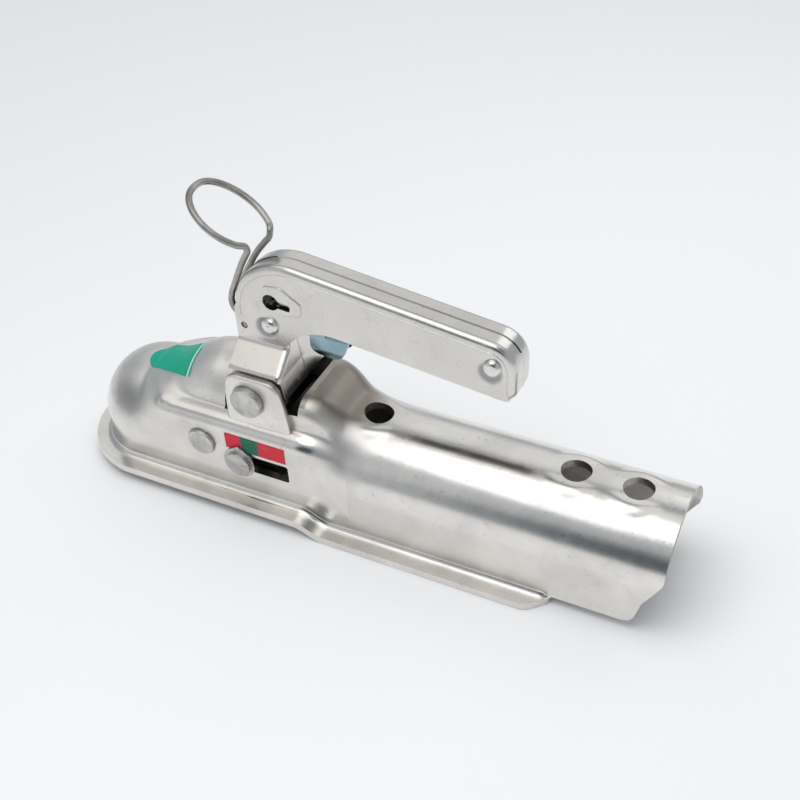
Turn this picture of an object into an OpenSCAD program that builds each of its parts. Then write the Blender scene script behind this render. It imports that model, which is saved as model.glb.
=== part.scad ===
// Coupling head for a light trailer: pressed shell with a ball dome, a drawbar sleeve and a lift lever.
// Origin: centre of the ball. +X towards the drawbar, +Z up. All sizes in millimetres.

/* [Ball and sheet] */
// Diameter of the tow ball
ball_d = 50; // [48:0.5:52]
// Radial gap between the ball and its socket
ball_gap = 0.2; // [0.1:0.05:0.5]
// Thickness of the pressed shell
wall = 3.8; // [3:0.1:4.5]

/* [Drawbar sleeve] */
// Diameter of the drawbar tube that the sleeve holds
drawbar_d = 50; // [48:0.5:52]
// Radial gap between the drawbar and the sleeve
drawbar_gap = 0.2; // [0.1:0.05:0.5]
// Height of the drawbar axis above the ball centre
drawbar_z = 2.3; // [1:0.1:4]
// X of the sleeve's open end
tail_x = 265.3; // [258:0.5:280]
// Diameter of the three bolt holes
bolt_hole_d = 13.5; // [10:0.5:14.5]
// X of the front bolt hole
bolt_front_x = 122.1; // [120:0.1:130]
// X of the middle bolt hole
bolt_middle_x = 216.2; // [205:0.1:222]
// X of the rear bolt hole
bolt_rear_x = 243.8; // [240:0.1:246]
// Diameter of the flat seat pressed round each bolt hole
bolt_seat_d = 25; // [20:0.5:26]

/* [Flange] */
// Width of the flange outside the side panels
flange_lip = 8.5; // [6:0.5:12]
// Height of the front flange's underside, below the ball centre
flange_front_drop = 18.3; // [16:0.1:20]
// Height of the rear flange's underside, below the ball centre
flange_rear_drop = 23.3; // [21:0.1:26]
// X where the flange starts to step down
flange_step_x = 92; // [85:1:98]
// Length of the flange's step
flange_step_len = 15; // [10:1:20]
// X of the flange's rear end
flange_end_x = 219; // [215:1:226]
// Length of the flange's slanted rear corner
flange_corner = 12; // [6:1:15]

/* [Head and neck] */
// Height of the shoulders beside the neck
shoulder_z = 28; // [27:0.5:29]
// X where the shoulders start
shoulder_x = 21; // [18:1:26]
// Radius of the shoulder's edge
shoulder_r = 3.8; // [2:0.2:4]
// Half-width of the neck where it stands on the shoulders
neck_half_w = 23; // [22.2:0.2:24]
// Radius of the neck's rounded top
neck_top_r = 20; // [18:0.5:22]
// Height of the neck's top at the front rim of the opening
neck_top_z = 49.5; // [48:0.5:51]
// X of the front rim of the top opening
opening_front_x = 52; // [51:0.5:53]
// X of the rear rim of the top opening
opening_rear_x = 92; // [91:0.5:95]
// Height of the rear rim of the top opening
rear_rim_z = 43.5; // [40:0.5:45]

/* [Lever pivot] */
// X of the lever's pivot pin
pivot_x = 69.3; // [68.5:0.1:70.5]
// Height of the lever's pivot pin
pivot_z = 41.8; // [41:0.1:43]
// Diameter of the pivot pin
pivot_d = 12; // [9:0.5:13]
// Half-width over the ears
ear_half_w = 25; // [24.6:0.1:26]
// Height of the ears' top
ear_top_z = 52.3; // [51:0.1:54]
// Length of the ears
ear_len = 27; // [25:0.5:30]
// Radial running clearance of pins
run_gap = 0.05; // [0.02:0.01:0.09]
// Thickness of rivet and pin heads
head_t = 2.2; // [1.5:0.1:3]

/* [Lever] */
// Half-width of the lever's grip
grip_half_w = 8.2; // [8:0.1:9.5]
// Gap between a cheek of the lever and its ear
cheek_gap = 1.2; // [0.6:0.1:2]
// Thickness of the lever's sheet
lever_t = 2.2; // [1.5:0.1:2.6]
// X of the lever's rear end
lever_end_x = 192; // [180:1:210]
// Height of the lever's top above the pivot, measured at lever_top_x
lever_top_z = 108; // [105:0.2:110]
// Slope of the lever's top, in degrees
lever_slope = 7.5; // [5:0.1:9]
// Depth of the grip at its rear end
grip_depth = 27; // [24:0.5:29]
// Radius of the big curve at the front of the lever
front_curve_r = 28; // [24:0.5:30]
// Radius of the grip's long edges
grip_r = 3.1; // [2.4:0.1:4]
// Sideways place of the seam between the halves
seam_y = 0; // [-2:0.5:2]
// Gap between the lever's halves
seam_gap = 0.1; // [0.05:0.05:0.3]
// Diameter of the lever's rivets
lever_rivet_d = 6; // [5:0.5:7]
// Diameter over the heads of the lever's rivets
lever_rivet_head_d = 9.6; // [9:0.2:11]
// Height of the domed heads of the lever's rivets
lever_rivet_head_t = 2.4; // [1.6:0.2:3]
// X of the front lever rivet
front_rivet_x = 75.3; // [74:0.1:77]
// Height of the front lever rivet
front_rivet_z = 73.6; // [73:0.1:75]
// Distance from the rear lever rivet to the lever's end
rear_rivet_inset = 10.9; // [9:0.1:14]

/* [Jaw and slot] */
// X of the slot pin with the coupling closed
slot_pin_x = 62.3; // [61:0.1:64]
// Height of the slot pin
slot_pin_z = 5.6; // [5:0.1:6]
// Diameter of the slot pin
slot_pin_d = 9; // [7:0.5:10]
// Clearance of the pin in the slot, all round
slot_gap = 0.4; // [0.2:0.1:0.8]
// Travel of the jaw from closed to open
jaw_travel = 16; // [12:0.5:16.5]
// Length of the slots in the side panels
slot_len = 32; // [28:0.5:33]
// X of the guide rivet
guide_x = 41.9; // [41:0.1:43]
// Height of the guide rivet
guide_z = 11.3; // [11:0.1:12.5]
// Diameter of the guide rivet
guide_d = 9; // [7:0.5:10]
// Thickness of the ball jaw at its rear
jaw_t = 8; // [6:0.5:9]
// Thickness of the yoke's arms
yoke_t = 4; // [3:0.5:5]
// Wire diameter of the jaw spring
jaw_wire_d = 2.2; // [1.8:0.1:2.4]
// Mean diameter of the jaw spring
jaw_coil_d = 17; // [14:0.5:20]

/* [Wire loop] */
// Diameter of the loop's wire
loop_wire_d = 3; // [2:0.1:3.4]
// X of the loop's ends in the lever
loop_x = 61.4; // [61:0.1:62.5]
// Height of the loop's ends in the lever
loop_z = 70.2; // [69.5:0.1:72]

/* [Safety catch] */
// Length of the catch from its pivot to the end of the thumb pad
catch_len = 39.5; // [34:0.5:44]
// Gap between the catch and the lever's sides
catch_gap = 0.3; // [0.2:0.1:0.8]
// Height of the thumb pad
catch_pad_h = 13; // [10:0.5:14]
// Thickness of the catch's sheet
catch_t = 1.8; // [1.2:0.1:2]

/* [Hidden] */
$fn = 48;

zinc = [0.80, 0.82, 0.84];
dark_steel = [0.45, 0.46, 0.47];
blue_zinc = [0.42, 0.56, 0.60];
label_red = [0.88, 0.25, 0.27];
label_green = [0.15, 0.50, 0.38];

// Derived sizes of the shell
socket_r = ball_d / 2 + ball_gap;
dome_r = socket_r + wall;
bore_r = drawbar_d / 2 + drawbar_gap;
arch_r = bore_r + wall;
arch_top_z = drawbar_z + arch_r;
flange_half_w = max(dome_r, arch_r) + flange_lip;
flange_step_end = flange_step_x + flange_step_len;
shoulder_end_x = flange_step_end - 9;
arch_x = flange_step_end + 10;
free_edge_drop = flange_rear_drop - 4.6;
ear_in = ear_half_w - wall;
cheek_half_w = ear_in - cheek_gap;
ear_x0 = pivot_x + 1.5 - ear_len / 2;
ear_x1 = ear_x0 + ear_len;
cut = 1;
hair = 0.01;
far_below = 40;
hull_fn = 32;
label_t = 0.25;

// Derived places of the pins and the jaw
slot_r = slot_pin_d / 2 + slot_gap;
slot_x0 = slot_pin_x - 1.4;
slot_head_y = dome_r + 1.6;
slot_washer_t = 1.2;
slot_washer_d = slot_pin_d + 7.5;
pointer_h = slot_washer_d / 2 + 1.6;
pointer_w = slot_washer_d * 0.26;
pointer_root = slot_washer_d * 0.42;
slot_x1 = slot_x0 - slot_r + slot_len;
jaw_top_z = guide_z - guide_d / 2 - 2.8;
jaw_bottom_z = 3 - flange_front_drop;
jaw_front_x = 9;
jaw_rear_x = socket_r + jaw_t;
jaw_gap = 0.2;
jaw_half_w = socket_r - 0.8;
yoke_half_w = socket_r - 2.2;
cam_arm = 21.5;
cam_nose_r = 5;
cam_half_w = cheek_half_w - lever_t - 0.4;
cam_nose_x = pivot_x - 3.3;
cam_nose_z = pivot_z - cam_arm + 0.2;
cam_gap = 0.9;
post_x0 = cam_nose_x + cam_nose_r + cam_gap;
post_x1 = post_x0 + 6.5;
post_top_z = cam_nose_z + cam_nose_r;
bracket_x0 = arch_x - 11;
bracket_t = 3;
spring_z = 10;
spring_gap = 0.2;
jaw_turns = 4;
yoke_tall_x = guide_x + guide_d / 2 + 5.5;

// Derived outline of the lever, as points [x, z, radius]
lever_top_x = 77;
lever_drop = tan(lever_slope);
lever_end_top_z = lever_top_z - (lever_end_x - lever_top_x) * lever_drop;
lever_end_low_z = lever_end_top_z - grip_depth;
front_edge_x = 57.2;
front_top_z = lever_top_z + (lever_top_x - front_edge_x) * lever_drop;
end_curve_r = 13;
joggle_top_z = 62.5;
joggle_low_z = 53.7;
grip_low_z = joggle_top_z - 0.7;
fillet_x = 92.3;
fillet_z = lever_end_low_z + (lever_end_x - fillet_x) * lever_drop - 1;
lever_outline = [[front_edge_x, grip_low_z, 1], [80.8, grip_low_z, 0.8], [fillet_x, fillet_z, 27],
    [lever_end_x - 0.8, lever_end_low_z, 5.5], [lever_end_x, lever_end_top_z, end_curve_r],
    [front_edge_x, front_top_z, front_curve_r]];
grip_in = grip_half_w - lever_t;
cavity_low_z = 50;
cavity_front_z = 88;
cavity_end_x = lever_end_x - lever_t;
cavity_top = lever_t / cos(lever_slope);
cavity_outline = [[front_edge_x - 5, cavity_low_z, 0], [cavity_end_x - 0.8, cavity_low_z, 0],
    [cavity_end_x, lever_end_top_z - cavity_top + lever_t * lever_drop, end_curve_r - lever_t],
    [front_edge_x + lever_t, front_top_z - cavity_top - lever_t * lever_drop, front_curve_r - lever_t],
    [front_edge_x + lever_t, cavity_front_z, 0], [front_edge_x - 5, cavity_front_z, 0]];
cheek_outline = [[57.4, 66, 0], [57.4, 50, 3], [60.5, 31, 9], [77, 30.5, 9], [86.6, 41, 6], [84.2, 53, 6],
    [82, 66, 0]];
web_x = 82.4;
web_low_z = 41.5;
web_top_z = 65;
rear_rivet_x = lever_end_x - rear_rivet_inset;
rear_rivet_z = lever_end_top_z - 10.2;
keyhole_x = 77.3;
keyhole_z = 87.1;
keyhole_d = 8;
keyhole_len = 9.6;
keyhole_slot_h = 3.4;
keyhole_fall = 1.2;
sleeve_d = lever_rivet_d + 4;

// Derived outlines of the safety catch, as points [x, z, radius]
catch_half_w = grip_in - catch_gap;
pad_x0 = front_rivet_x + 18;
pad_x1 = front_rivet_x + catch_len;
pad_top_z = front_rivet_z - 0.6;
pad_low_z = pad_top_z - catch_pad_h;
pad_edge_r = catch_half_w - 0.6;
catch_ear_outline = [for (p = [[-8, 4, 4], [-12, -14.5, 2], [-13, -16, 1], [-10, -17.5, 2], [5, -6.4, 6],
    [15, -6.4, 3], [19, -11, 3], [24, -11, 2], [24, -2, 2], [12, 1, 4], [7, 8, 5]])
    [front_rivet_x + p.x, front_rivet_z + p.y, p.z]];
pad_outline = [[pad_x0, pad_low_z + 1.5, 3], [pad_x1 - 6, pad_low_z, 4], [pad_x1, pad_top_z - 4, 3],
    [pad_x1, pad_top_z + 1, 0], [pad_x0, pad_top_z + 1, 0]];

// Derived route of the wire loop, as points [x, y, z] of its near leg and a formula for its eye
leg_y = grip_in - loop_wire_d / 2 - 0.4;
eye_root_y = 6.9;
eye_tilt = 34;
eye_root = [70.8, 0, 112.1];
eye_len = 36;
eye_half_w = 12.8;
eye_steps = 28;
wire_sides = 8;

// Direction from a to b
function unit(v) = v / norm(v);

// Direction a, turned square to t
function square_to(a, t) = unit(a - t * (a * t));

// Arc that rounds the corner at p, between its neighbours a and b
function corner(a, p, b, r, n = 6) =
    let (u = unit(a - p), v = unit(b - p), half = acos(u * v) / 2,
         c = p + unit(u + v) * r / sin(half), s = p + u * r / tan(half), e = p + v * r / tan(half),
         a0 = atan2(s.y - c.y, s.x - c.x), a1 = atan2(e.y - c.y, e.x - c.x),
         turn = (a1 - a0 + 540) % 360 - 180)
    r <= 0 ? [p] : [for (i = [0:n]) c + r * [cos(a0 + turn * i / n), sin(a0 + turn * i / n)]];

// Outline with every corner [x, y, radius] rounded
function rounded(pts) =
    let (n = len(pts), q = [for (p = pts) [p.x, p.y]])
    [for (i = [0:n - 1]) each corner(q[(i + n - 1) % n], q[i], q[(i + 1) % n], pts[i].z)];

// Plate with a side outline in X and Z, from y0 to y1
module side_plate(pts, y0, y1) {
    translate([0, y1, 0])
        rotate([90, 0, 0])
            linear_extrude(y1 - y0)
                polygon(rounded(pts));
}

// Bar with a cross section in Y and Z, from x0 to x1
module cross_bar(pts, x0, x1) {
    translate([x0, 0, 0])
        rotate([90, 0, 90])
            linear_extrude(x1 - x0)
                polygon(rounded(pts));
}

module y_rod(x, z, y0, y1, d) {
    translate([x, y1, z])
        rotate([90, 0, 0])
            cylinder(d = d, h = y1 - y0);
}

module x_rod(z, x0, x1, r) {
    translate([x0, 0, z])
        rotate([0, 90, 0])
            cylinder(r = r, h = x1 - x0);
}

// Tube that follows a list of points
module swept(path, d, sides) {
    n = len(path);
    tangents = [for (i = [0:n - 1]) unit(path[min(i + 1, n - 1)] - path[max(i - 1, 0)])];
    start = unit(cross(tangents[0], [0.3, 0.5, 0.8]));
    sides_x = [for (i = 0, a = start; i < n; i = i + 1, a = i < n ? square_to(a, tangents[i]) : a) a];
    rings = [for (i = [0:n - 1])
        let (a = sides_x[i], b = cross(tangents[i], a))
        [for (k = [0:sides - 1]) path[i] + d / 2 * (a * cos(360 * k / sides) + b * sin(360 * k / sides))]];
    faces = [
        [for (k = [0:sides - 1]) k],
        for (i = [0:n - 2]) for (k = [0:sides - 1])
            let (a = i * sides, b = (i + 1) * sides, next = (k + 1) % sides) [a + k, b + k, b + next, a + next],
        [for (k = [sides - 1:-1:0]) (n - 1) * sides + k]];
    polyhedron([for (r = rings) each r], faces);
}

// The shell's form before it is hollowed, drawn smaller by d; low is how far down it runs
module shell_form(d, low) {
    hull() {
        sphere(dome_r - d, $fn = hull_fn);
        cross_bar([[-dome_r + d, -low, 0], [dome_r - d, -low, 0],
            [dome_r - d, shoulder_z - d, max(shoulder_r - d, 0.5)],
            [-dome_r + d, shoulder_z - d, max(shoulder_r - d, 0.5)]], shoulder_x + d, shoulder_end_x);
        x_rod(drawbar_z, arch_x, arch_x + hair, arch_r - d);
    }
    neck_form(d);
    hull() {
        cross_bar([[-ear_in - wall + d, 0, 0], [ear_in + wall - d, 0, 0],
            [ear_in + wall - d, shoulder_z, 0], [ear_in - 3 - d, rear_rim_z - d, 4],
            [-ear_in + 3 + d, rear_rim_z - d, 4], [-ear_in - wall + d, shoulder_z, 0]],
            opening_rear_x - 2, opening_rear_x + 6);
        x_rod(drawbar_z, arch_x, arch_x + hair, arch_r - d);
    }
    skirt(d, low);
    sleeve(d, low);
}

module neck_form(d) {
    hull() {
        sphere(dome_r - d, $fn = hull_fn);
        neck_slab(d, opening_front_x - 15, neck_top_z - 4);
        neck_slab(d, opening_front_x, neck_top_z);
    }
}

module neck_slab(d, x, top) {
    translate([x, 0, top - neck_top_r])
        rotate([0, 90, 0])
            cylinder(r = neck_top_r - d, h = 1, $fn = hull_fn);
    translate([x, -neck_half_w + d, 0])
        cube([1, 2 * (neck_half_w - d), shoulder_z + 2]);
}

// Upright wall under the dome and the shoulders
module skirt(d, low) {
    translate([0, 0, -low]) {
        cylinder(r = dome_r - d, h = low, $fn = 96);
        translate([0, -dome_r + d, 0])
            cube([arch_x, 2 * (dome_r - d), low]);
    }
}

module sleeve(d, low) {
    x_rod(drawbar_z, arch_x - cut, tail_x + (d > 0 ? cut : 0), arch_r - d, $fn = 96);
    translate([arch_x - cut, -arch_r + d, -low])
        cube([tail_x - arch_x + cut + (d > 0 ? cut : 0), 2 * (arch_r - d), low + drawbar_z]);
}

// Flange all round, with its step down to the rear part
module flange() {
    intersection() {
        side_plate([[-dome_r - flange_lip - cut, -flange_front_drop, 0],
            [flange_step_x, -flange_front_drop, 6], [flange_step_end, -flange_rear_drop, 6],
            [flange_end_x, -flange_rear_drop, 0], [flange_end_x, wall - flange_rear_drop, 0],
            [flange_step_end, wall - flange_rear_drop, 6], [flange_step_x, wall - flange_front_drop, 6],
            [-dome_r - flange_lip - cut, wall - flange_front_drop, 0]], -flange_half_w, flange_half_w);
        translate([0, 0, -far_below])
            linear_extrude(far_below)
                flange_plan();
    }
}

module flange_plan() {
    circle(r = flange_half_w, $fn = 96);
    corner_w = flange_lip - 1;
    polygon(rounded([[0, -flange_half_w, 0], [flange_end_x - flange_corner, -flange_half_w, 6],
        [flange_end_x, -flange_half_w + corner_w, 0], [flange_end_x, flange_half_w - corner_w, 0],
        [flange_end_x - flange_corner, flange_half_w, 6], [0, flange_half_w, 0]]));
}

// What is cut away under the base and behind the side panels
module base_cut() {
    side_plate([[-dome_r - flange_lip - cut, -far_below, 0], [tail_x + cut, -far_below, 0],
        [tail_x + cut, arch_top_z - 23, 0], [tail_x, arch_top_z - 23, 4], [tail_x - 7.5, -3.3, 3],
        [tail_x - 12, -free_edge_drop, 7], [flange_end_x, -free_edge_drop, 0],
        [flange_end_x, -flange_rear_drop, 0], [flange_step_end, -flange_rear_drop, 6],
        [flange_step_x, -flange_front_drop, 6], [-dome_r - flange_lip - cut, -flange_front_drop, 0]],
        -flange_half_w - cut, flange_half_w + cut);
}

module ears() {
    outline = [[opening_front_x + 0.6, shoulder_z - wall, 0], [ear_x1 + 6, shoulder_z - wall, 0],
        [ear_x1 + 4, pivot_z, 4], [ear_x1, ear_top_z, 6], [ear_x0, ear_top_z, 6],
        [ear_x0 - 1, pivot_z + 2, 3], [opening_front_x + 0.6, pivot_z, 1]];
    side_plate(outline, -ear_half_w, -ear_in);
    side_plate(outline, ear_in, ear_half_w);
}

module bolt_holes(d, z0, z1) {
    for (x = [bolt_front_x, bolt_middle_x, bolt_rear_x])
        translate([x, 0, z0])
            cylinder(d = d, h = z1 - z0);
}

module slot_cut() {
    y_rod(slot_x0, slot_pin_z, -dome_r - cut, dome_r + cut, 2 * slot_r);
    side_plate([[slot_x0, slot_pin_z - slot_r, 0], [slot_x1, slot_pin_z - slot_r, 1.5],
        [slot_x1, slot_pin_z + slot_r, 1.5], [slot_x0, slot_pin_z + slot_r, 0]],
        -dome_r - cut, dome_r + cut);
}

module housing() color(zinc) {
    difference() {
        union() {
            shell_form(0, flange_rear_drop);
            flange();
            ears();
            bolt_holes(bolt_seat_d, drawbar_z, arch_top_z);
        }
        shell_form(wall, far_below);
        translate([opening_front_x, -ear_in, shoulder_z - wall - cut])
            cube([opening_rear_x - opening_front_x, 2 * ear_in, far_below]);
        sphere(socket_r, $fn = 96);
        base_cut();
        bolt_holes(bolt_hole_d, drawbar_z, arch_top_z + cut);
        y_rod(pivot_x, pivot_z, -ear_half_w - cut, ear_half_w + cut, pivot_d);
        y_rod(guide_x, guide_z, -dome_r - cut, dome_r + cut, guide_d);
        slot_cut();
    }
}

module main_pin() color(zinc) {
    y_rod(pivot_x, pivot_z, -ear_half_w, ear_half_w + head_t, pivot_d);
    y_rod(pivot_x, pivot_z, -ear_half_w - head_t, -ear_half_w, pivot_d + 4);
}

module washer_y(x, z, y0, t, d_in, d_out) {
    difference() {
        y_rod(x, z, y0, y0 + t, d_out);
        y_rod(x, z, y0 - cut, y0 + t + cut, d_in);
    }
}

module main_pin_washer() color(zinc)
    washer_y(pivot_x, pivot_z, ear_half_w, 1.5, pivot_d, pivot_d + 6);

module guide_rivet() color(zinc) {
    y_rod(guide_x, guide_z, -dome_r, dome_r, guide_d);
    y_rod(guide_x, guide_z, -dome_r - head_t, -dome_r, guide_d + 4.5);
    y_rod(guide_x, guide_z, dome_r, dome_r + head_t, guide_d + 4.5);
}

module guide_sleeve() color(dark_steel)
    washer_y(guide_x, guide_z, -socket_r, 2 * socket_r, guide_d, guide_d + 4);

module ball_jaw() color(dark_steel)
    difference() {
        side_plate([[jaw_front_x, jaw_bottom_z, 3], [jaw_rear_x - 4, jaw_bottom_z, 4],
            [jaw_rear_x, jaw_bottom_z + 6, 3], [jaw_rear_x, jaw_top_z, 0], [jaw_front_x, jaw_top_z, 0]],
            -jaw_half_w, jaw_half_w);
        sphere(socket_r + jaw_gap, $fn = 96);
    }

module yoke_arm(y0) {
    side_plate([[jaw_rear_x, -6, 0], [post_x1, -6, 3], [post_x1, 22, 3], [yoke_tall_x + 6, 22, 3],
        [yoke_tall_x, jaw_top_z, 1], [jaw_rear_x, jaw_top_z, 0]], y0, y0 + yoke_t);
}

module jaw_yoke() color(dark_steel)
    difference() {
        union() {
            yoke_arm(-yoke_half_w);
            yoke_arm(yoke_half_w - yoke_t);
            cross_bar([[-yoke_half_w, -6, 0], [yoke_half_w, -6, 0], [yoke_half_w, 16, 0],
                [cam_half_w, post_top_z, 3], [-cam_half_w, post_top_z, 3], [-yoke_half_w, 16, 0]],
                post_x0, post_x1);
        }
        y_rod(slot_pin_x, slot_pin_z, -dome_r, dome_r, slot_pin_d);
    }

module slot_pin() color(zinc) {
    y_rod(slot_pin_x, slot_pin_z, -slot_head_y, slot_head_y, slot_pin_d);
    y_rod(slot_pin_x, slot_pin_z, -slot_head_y - head_t, -slot_head_y, slot_pin_d + 4);
    y_rod(slot_pin_x, slot_pin_z, slot_head_y, slot_head_y + head_t, slot_pin_d + 4);
}

// Washer with a point that shows the jaw's place on the label
module slot_washer_near() color(zinc)
    difference() {
        union() {
            y_rod(slot_pin_x, slot_pin_z, -slot_head_y, -slot_head_y + slot_washer_t, slot_washer_d);
            side_plate([[slot_pin_x, slot_pin_z + pointer_h, 0.4],
                [slot_pin_x - pointer_w, slot_pin_z + pointer_root, 0], [slot_pin_x, slot_pin_z, 0],
                [slot_pin_x + pointer_w, slot_pin_z + pointer_root, 0]], -slot_head_y, -slot_head_y + slot_washer_t);
        }
        y_rod(slot_pin_x, slot_pin_z, -slot_head_y - cut, cut - dome_r, slot_pin_d);
    }

module slot_washer_far() color(zinc)
    washer_y(slot_pin_x, slot_pin_z, slot_head_y - slot_washer_t, slot_washer_t, slot_pin_d, slot_washer_d);

// Spring wound along X
function coil_x(x0, x1, r, turns, z, per_turn = 16) =
    [for (i = [0:turns * per_turn])
        let (a = 360 * i / per_turn)
        [x0 + (x1 - x0) * i / (turns * per_turn), r * sin(a), z + r * cos(a)]];

module jaw_spring() color(dark_steel)
    swept(coil_x(post_x1 + jaw_wire_d / 2 + spring_gap, bracket_x0 - jaw_wire_d / 2 - spring_gap,
        jaw_coil_d / 2, jaw_turns, spring_z), jaw_wire_d, 6);

module spring_bracket() color(dark_steel)
    difference() {
        intersection() {
            translate([bracket_x0, -bore_r, -12])
                cube([bracket_t, 2 * bore_r, 33]);
            union() {
                x_rod(drawbar_z, bracket_x0 - cut, bracket_x0 + bracket_t + cut, bore_r - 0.1);
                translate([bracket_x0 - cut, -dome_r, -far_below])
                    cube([bracket_t + 2 * cut, 2 * dome_r, far_below + drawbar_z]);
            }
        }
        x_rod(spring_z, bracket_x0 - cut, bracket_x0 + bracket_t + cut, 4);
    }

// Bar with the grip's side outline and rounded long edges, drawn smaller by d
module grip_form(outline, d) {
    w = grip_half_w - d;
    r = grip_r - d;
    intersection() {
        side_plate(outline, -w, w);
        translate([lever_top_x, 0, lever_top_z - d])
            rotate([0, lever_slope, 0])
                cross_bar([[-w, -lever_top_z, 0], [w, -lever_top_z, 0], [w, 0, r], [-w, 0, r]],
                    -lever_top_x, lever_end_x);
        linear_extrude(lever_end_x)
            polygon(rounded([[0, -w, 0], [lever_end_x - d, -w, r], [lever_end_x - d, w, r], [0, w, 0]]));
    }
}

// Hollow grip, open below and in the lower part of its front
module grip_shell() {
    difference() {
        grip_form(lever_outline, 0);
        grip_form(cavity_outline, lever_t);
    }
}

// Near cheek of the lever: it steps outwards below the grip and stands beside the ear
module cheek() {
    out_y = cheek_half_w;
    seat = 0.3;
    tongue_z = joggle_top_z + 4.5;
    low_z = pivot_z - 22;
    intersection() {
        cross_bar([[-grip_in - seat, joggle_top_z, 1], [-grip_in - seat, tongue_z, 0],
            [seat - grip_half_w, tongue_z, 0], [seat - grip_half_w, joggle_top_z + seat, 0],
            [-out_y, joggle_low_z, 1.5], [-out_y, low_z, 0],
            [-out_y + lever_t, low_z, 0], [-out_y + lever_t, joggle_low_z, 1]], pivot_x - 20, pivot_x + 25);
        side_plate(cheek_outline, -out_y - cut, 0);
    }
}

// Half of the web that closes the cheeks at the rear
module web_half(y0, y1) {
    w = cheek_half_w - 0.4;
    intersection() {
        side_plate([[web_x + 0.6, web_low_z, 0], [web_x + 0.6 + lever_t, web_low_z, 0],
            [web_x + lever_t, web_top_z, 0], [web_x, web_top_z, 0]], y0, y1);
        cross_bar([[-w, web_low_z - 6, 4], [w, web_low_z - 6, 4], [w, joggle_low_z, 0],
            [grip_half_w - 0.6, joggle_top_z, 0], [grip_half_w - 0.6, web_top_z + cut, 0],
            [0.6 - grip_half_w, web_top_z + cut, 0], [0.6 - grip_half_w, joggle_top_z, 0],
            [-w, joggle_low_z, 0]], web_x - 5, web_x + 10);
    }
}

module keyhole() {
    y_rod(keyhole_x, keyhole_z, -grip_half_w - cut, grip_half_w + cut, keyhole_d);
    side_plate([[keyhole_x, keyhole_z - keyhole_slot_h / 2, 0],
        [keyhole_x + keyhole_len, keyhole_z - keyhole_fall - keyhole_slot_h / 2, 1],
        [keyhole_x + keyhole_len, keyhole_z - keyhole_fall + keyhole_slot_h / 2, 1],
        [keyhole_x, keyhole_z + keyhole_slot_h / 2, 0]], -grip_half_w - cut, grip_half_w + cut);
}

module lever_holes() {
    y_rod(pivot_x, pivot_z, -cheek_half_w - cut, cheek_half_w + cut, pivot_d + 2 * run_gap);
    y_rod(front_rivet_x, front_rivet_z, -grip_half_w - cut, grip_half_w + cut, lever_rivet_d);
    y_rod(rear_rivet_x, rear_rivet_z, -grip_half_w - cut, grip_half_w + cut, lever_rivet_d);
    y_rod(loop_x, loop_z, -grip_half_w - cut, grip_half_w + cut, loop_wire_d + 2 * run_gap);
    keyhole();
}

module lever_near_half() color(zinc)
    difference() {
        union() {
            intersection() {
                grip_shell();
                translate([0, seam_y - cheek_half_w, 0])
                    cube([lever_end_x + cut, cheek_half_w, front_top_z]);
            }
            cheek();
            web_half(-cheek_half_w, 0);
        }
        lever_holes();
    }

module lever_far_half() color(zinc)
    difference() {
        union() {
            intersection() {
                grip_shell();
                translate([0, seam_y + seam_gap, 0])
                    cube([lever_end_x + cut, cheek_half_w, front_top_z]);
            }
            mirror([0, 1, 0])
                cheek();
            web_half(seam_gap, cheek_half_w);
        }
        lever_holes();
    }

module lever_cam() color(dark_steel)
    difference() {
        union() {
            y_rod(pivot_x, pivot_z, -cam_half_w, cam_half_w, pivot_d + 8);
            side_plate([[cam_nose_x - cam_nose_r, cam_nose_z - cam_nose_r, cam_nose_r - 0.2],
                [cam_nose_x + cam_nose_r, cam_nose_z - cam_nose_r, cam_nose_r - 0.2],
                [cam_nose_x + cam_nose_r, pivot_z, 0], [cam_nose_x - cam_nose_r, pivot_z, 0]],
                -cam_half_w, cam_half_w);
        }
        y_rod(pivot_x, pivot_z, -cheek_half_w, cheek_half_w, pivot_d + 2 * run_gap);
    }

// Rivet with a domed head on each side
module lever_rivet(x, z) {
    half_d = lever_rivet_head_d / 2;
    ball_r = (half_d * half_d + lever_rivet_head_t * lever_rivet_head_t) / (2 * lever_rivet_head_t);
    y_rod(x, z, -grip_half_w - hair, grip_half_w + hair, lever_rivet_d);
    for (side = [-1, 1])
        intersection() {
            translate([x, side * (grip_half_w + lever_rivet_head_t - ball_r), z])
                sphere(ball_r);
            y_rod(x, z, side > 0 ? grip_half_w : -grip_half_w - ball_r,
                side > 0 ? grip_half_w + ball_r : -grip_half_w, lever_rivet_head_d + cut);
        }
}

module lever_front_rivet() color(zinc)
    lever_rivet(front_rivet_x, front_rivet_z);

module lever_rear_rivet() color(zinc)
    lever_rivet(rear_rivet_x, rear_rivet_z);

module lever_front_sleeve() color(dark_steel)
    washer_y(front_rivet_x, front_rivet_z, -grip_in, 2 * grip_in, lever_rivet_d, sleeve_d);

module lever_rear_sleeve() color(dark_steel)
    washer_y(rear_rivet_x, rear_rivet_z, -grip_in, 2 * grip_in, lever_rivet_d, sleeve_d);

// Folded catch: two ears on the front sleeve, with a nose below, and a rounded thumb pad behind
module safety_catch() color(blue_zinc)
    difference() {
        union() {
            for (y = [-catch_half_w, catch_half_w - catch_t])
                side_plate(catch_ear_outline, y, y + catch_t);
            intersection() {
                side_plate(pad_outline, -catch_half_w, catch_half_w);
                pad_arch(0);
            }
        }
        pad_arch(catch_t);
        y_rod(front_rivet_x, front_rivet_z, -catch_half_w - cut, catch_half_w + cut, sleeve_d + 2 * run_gap);
    }

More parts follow.
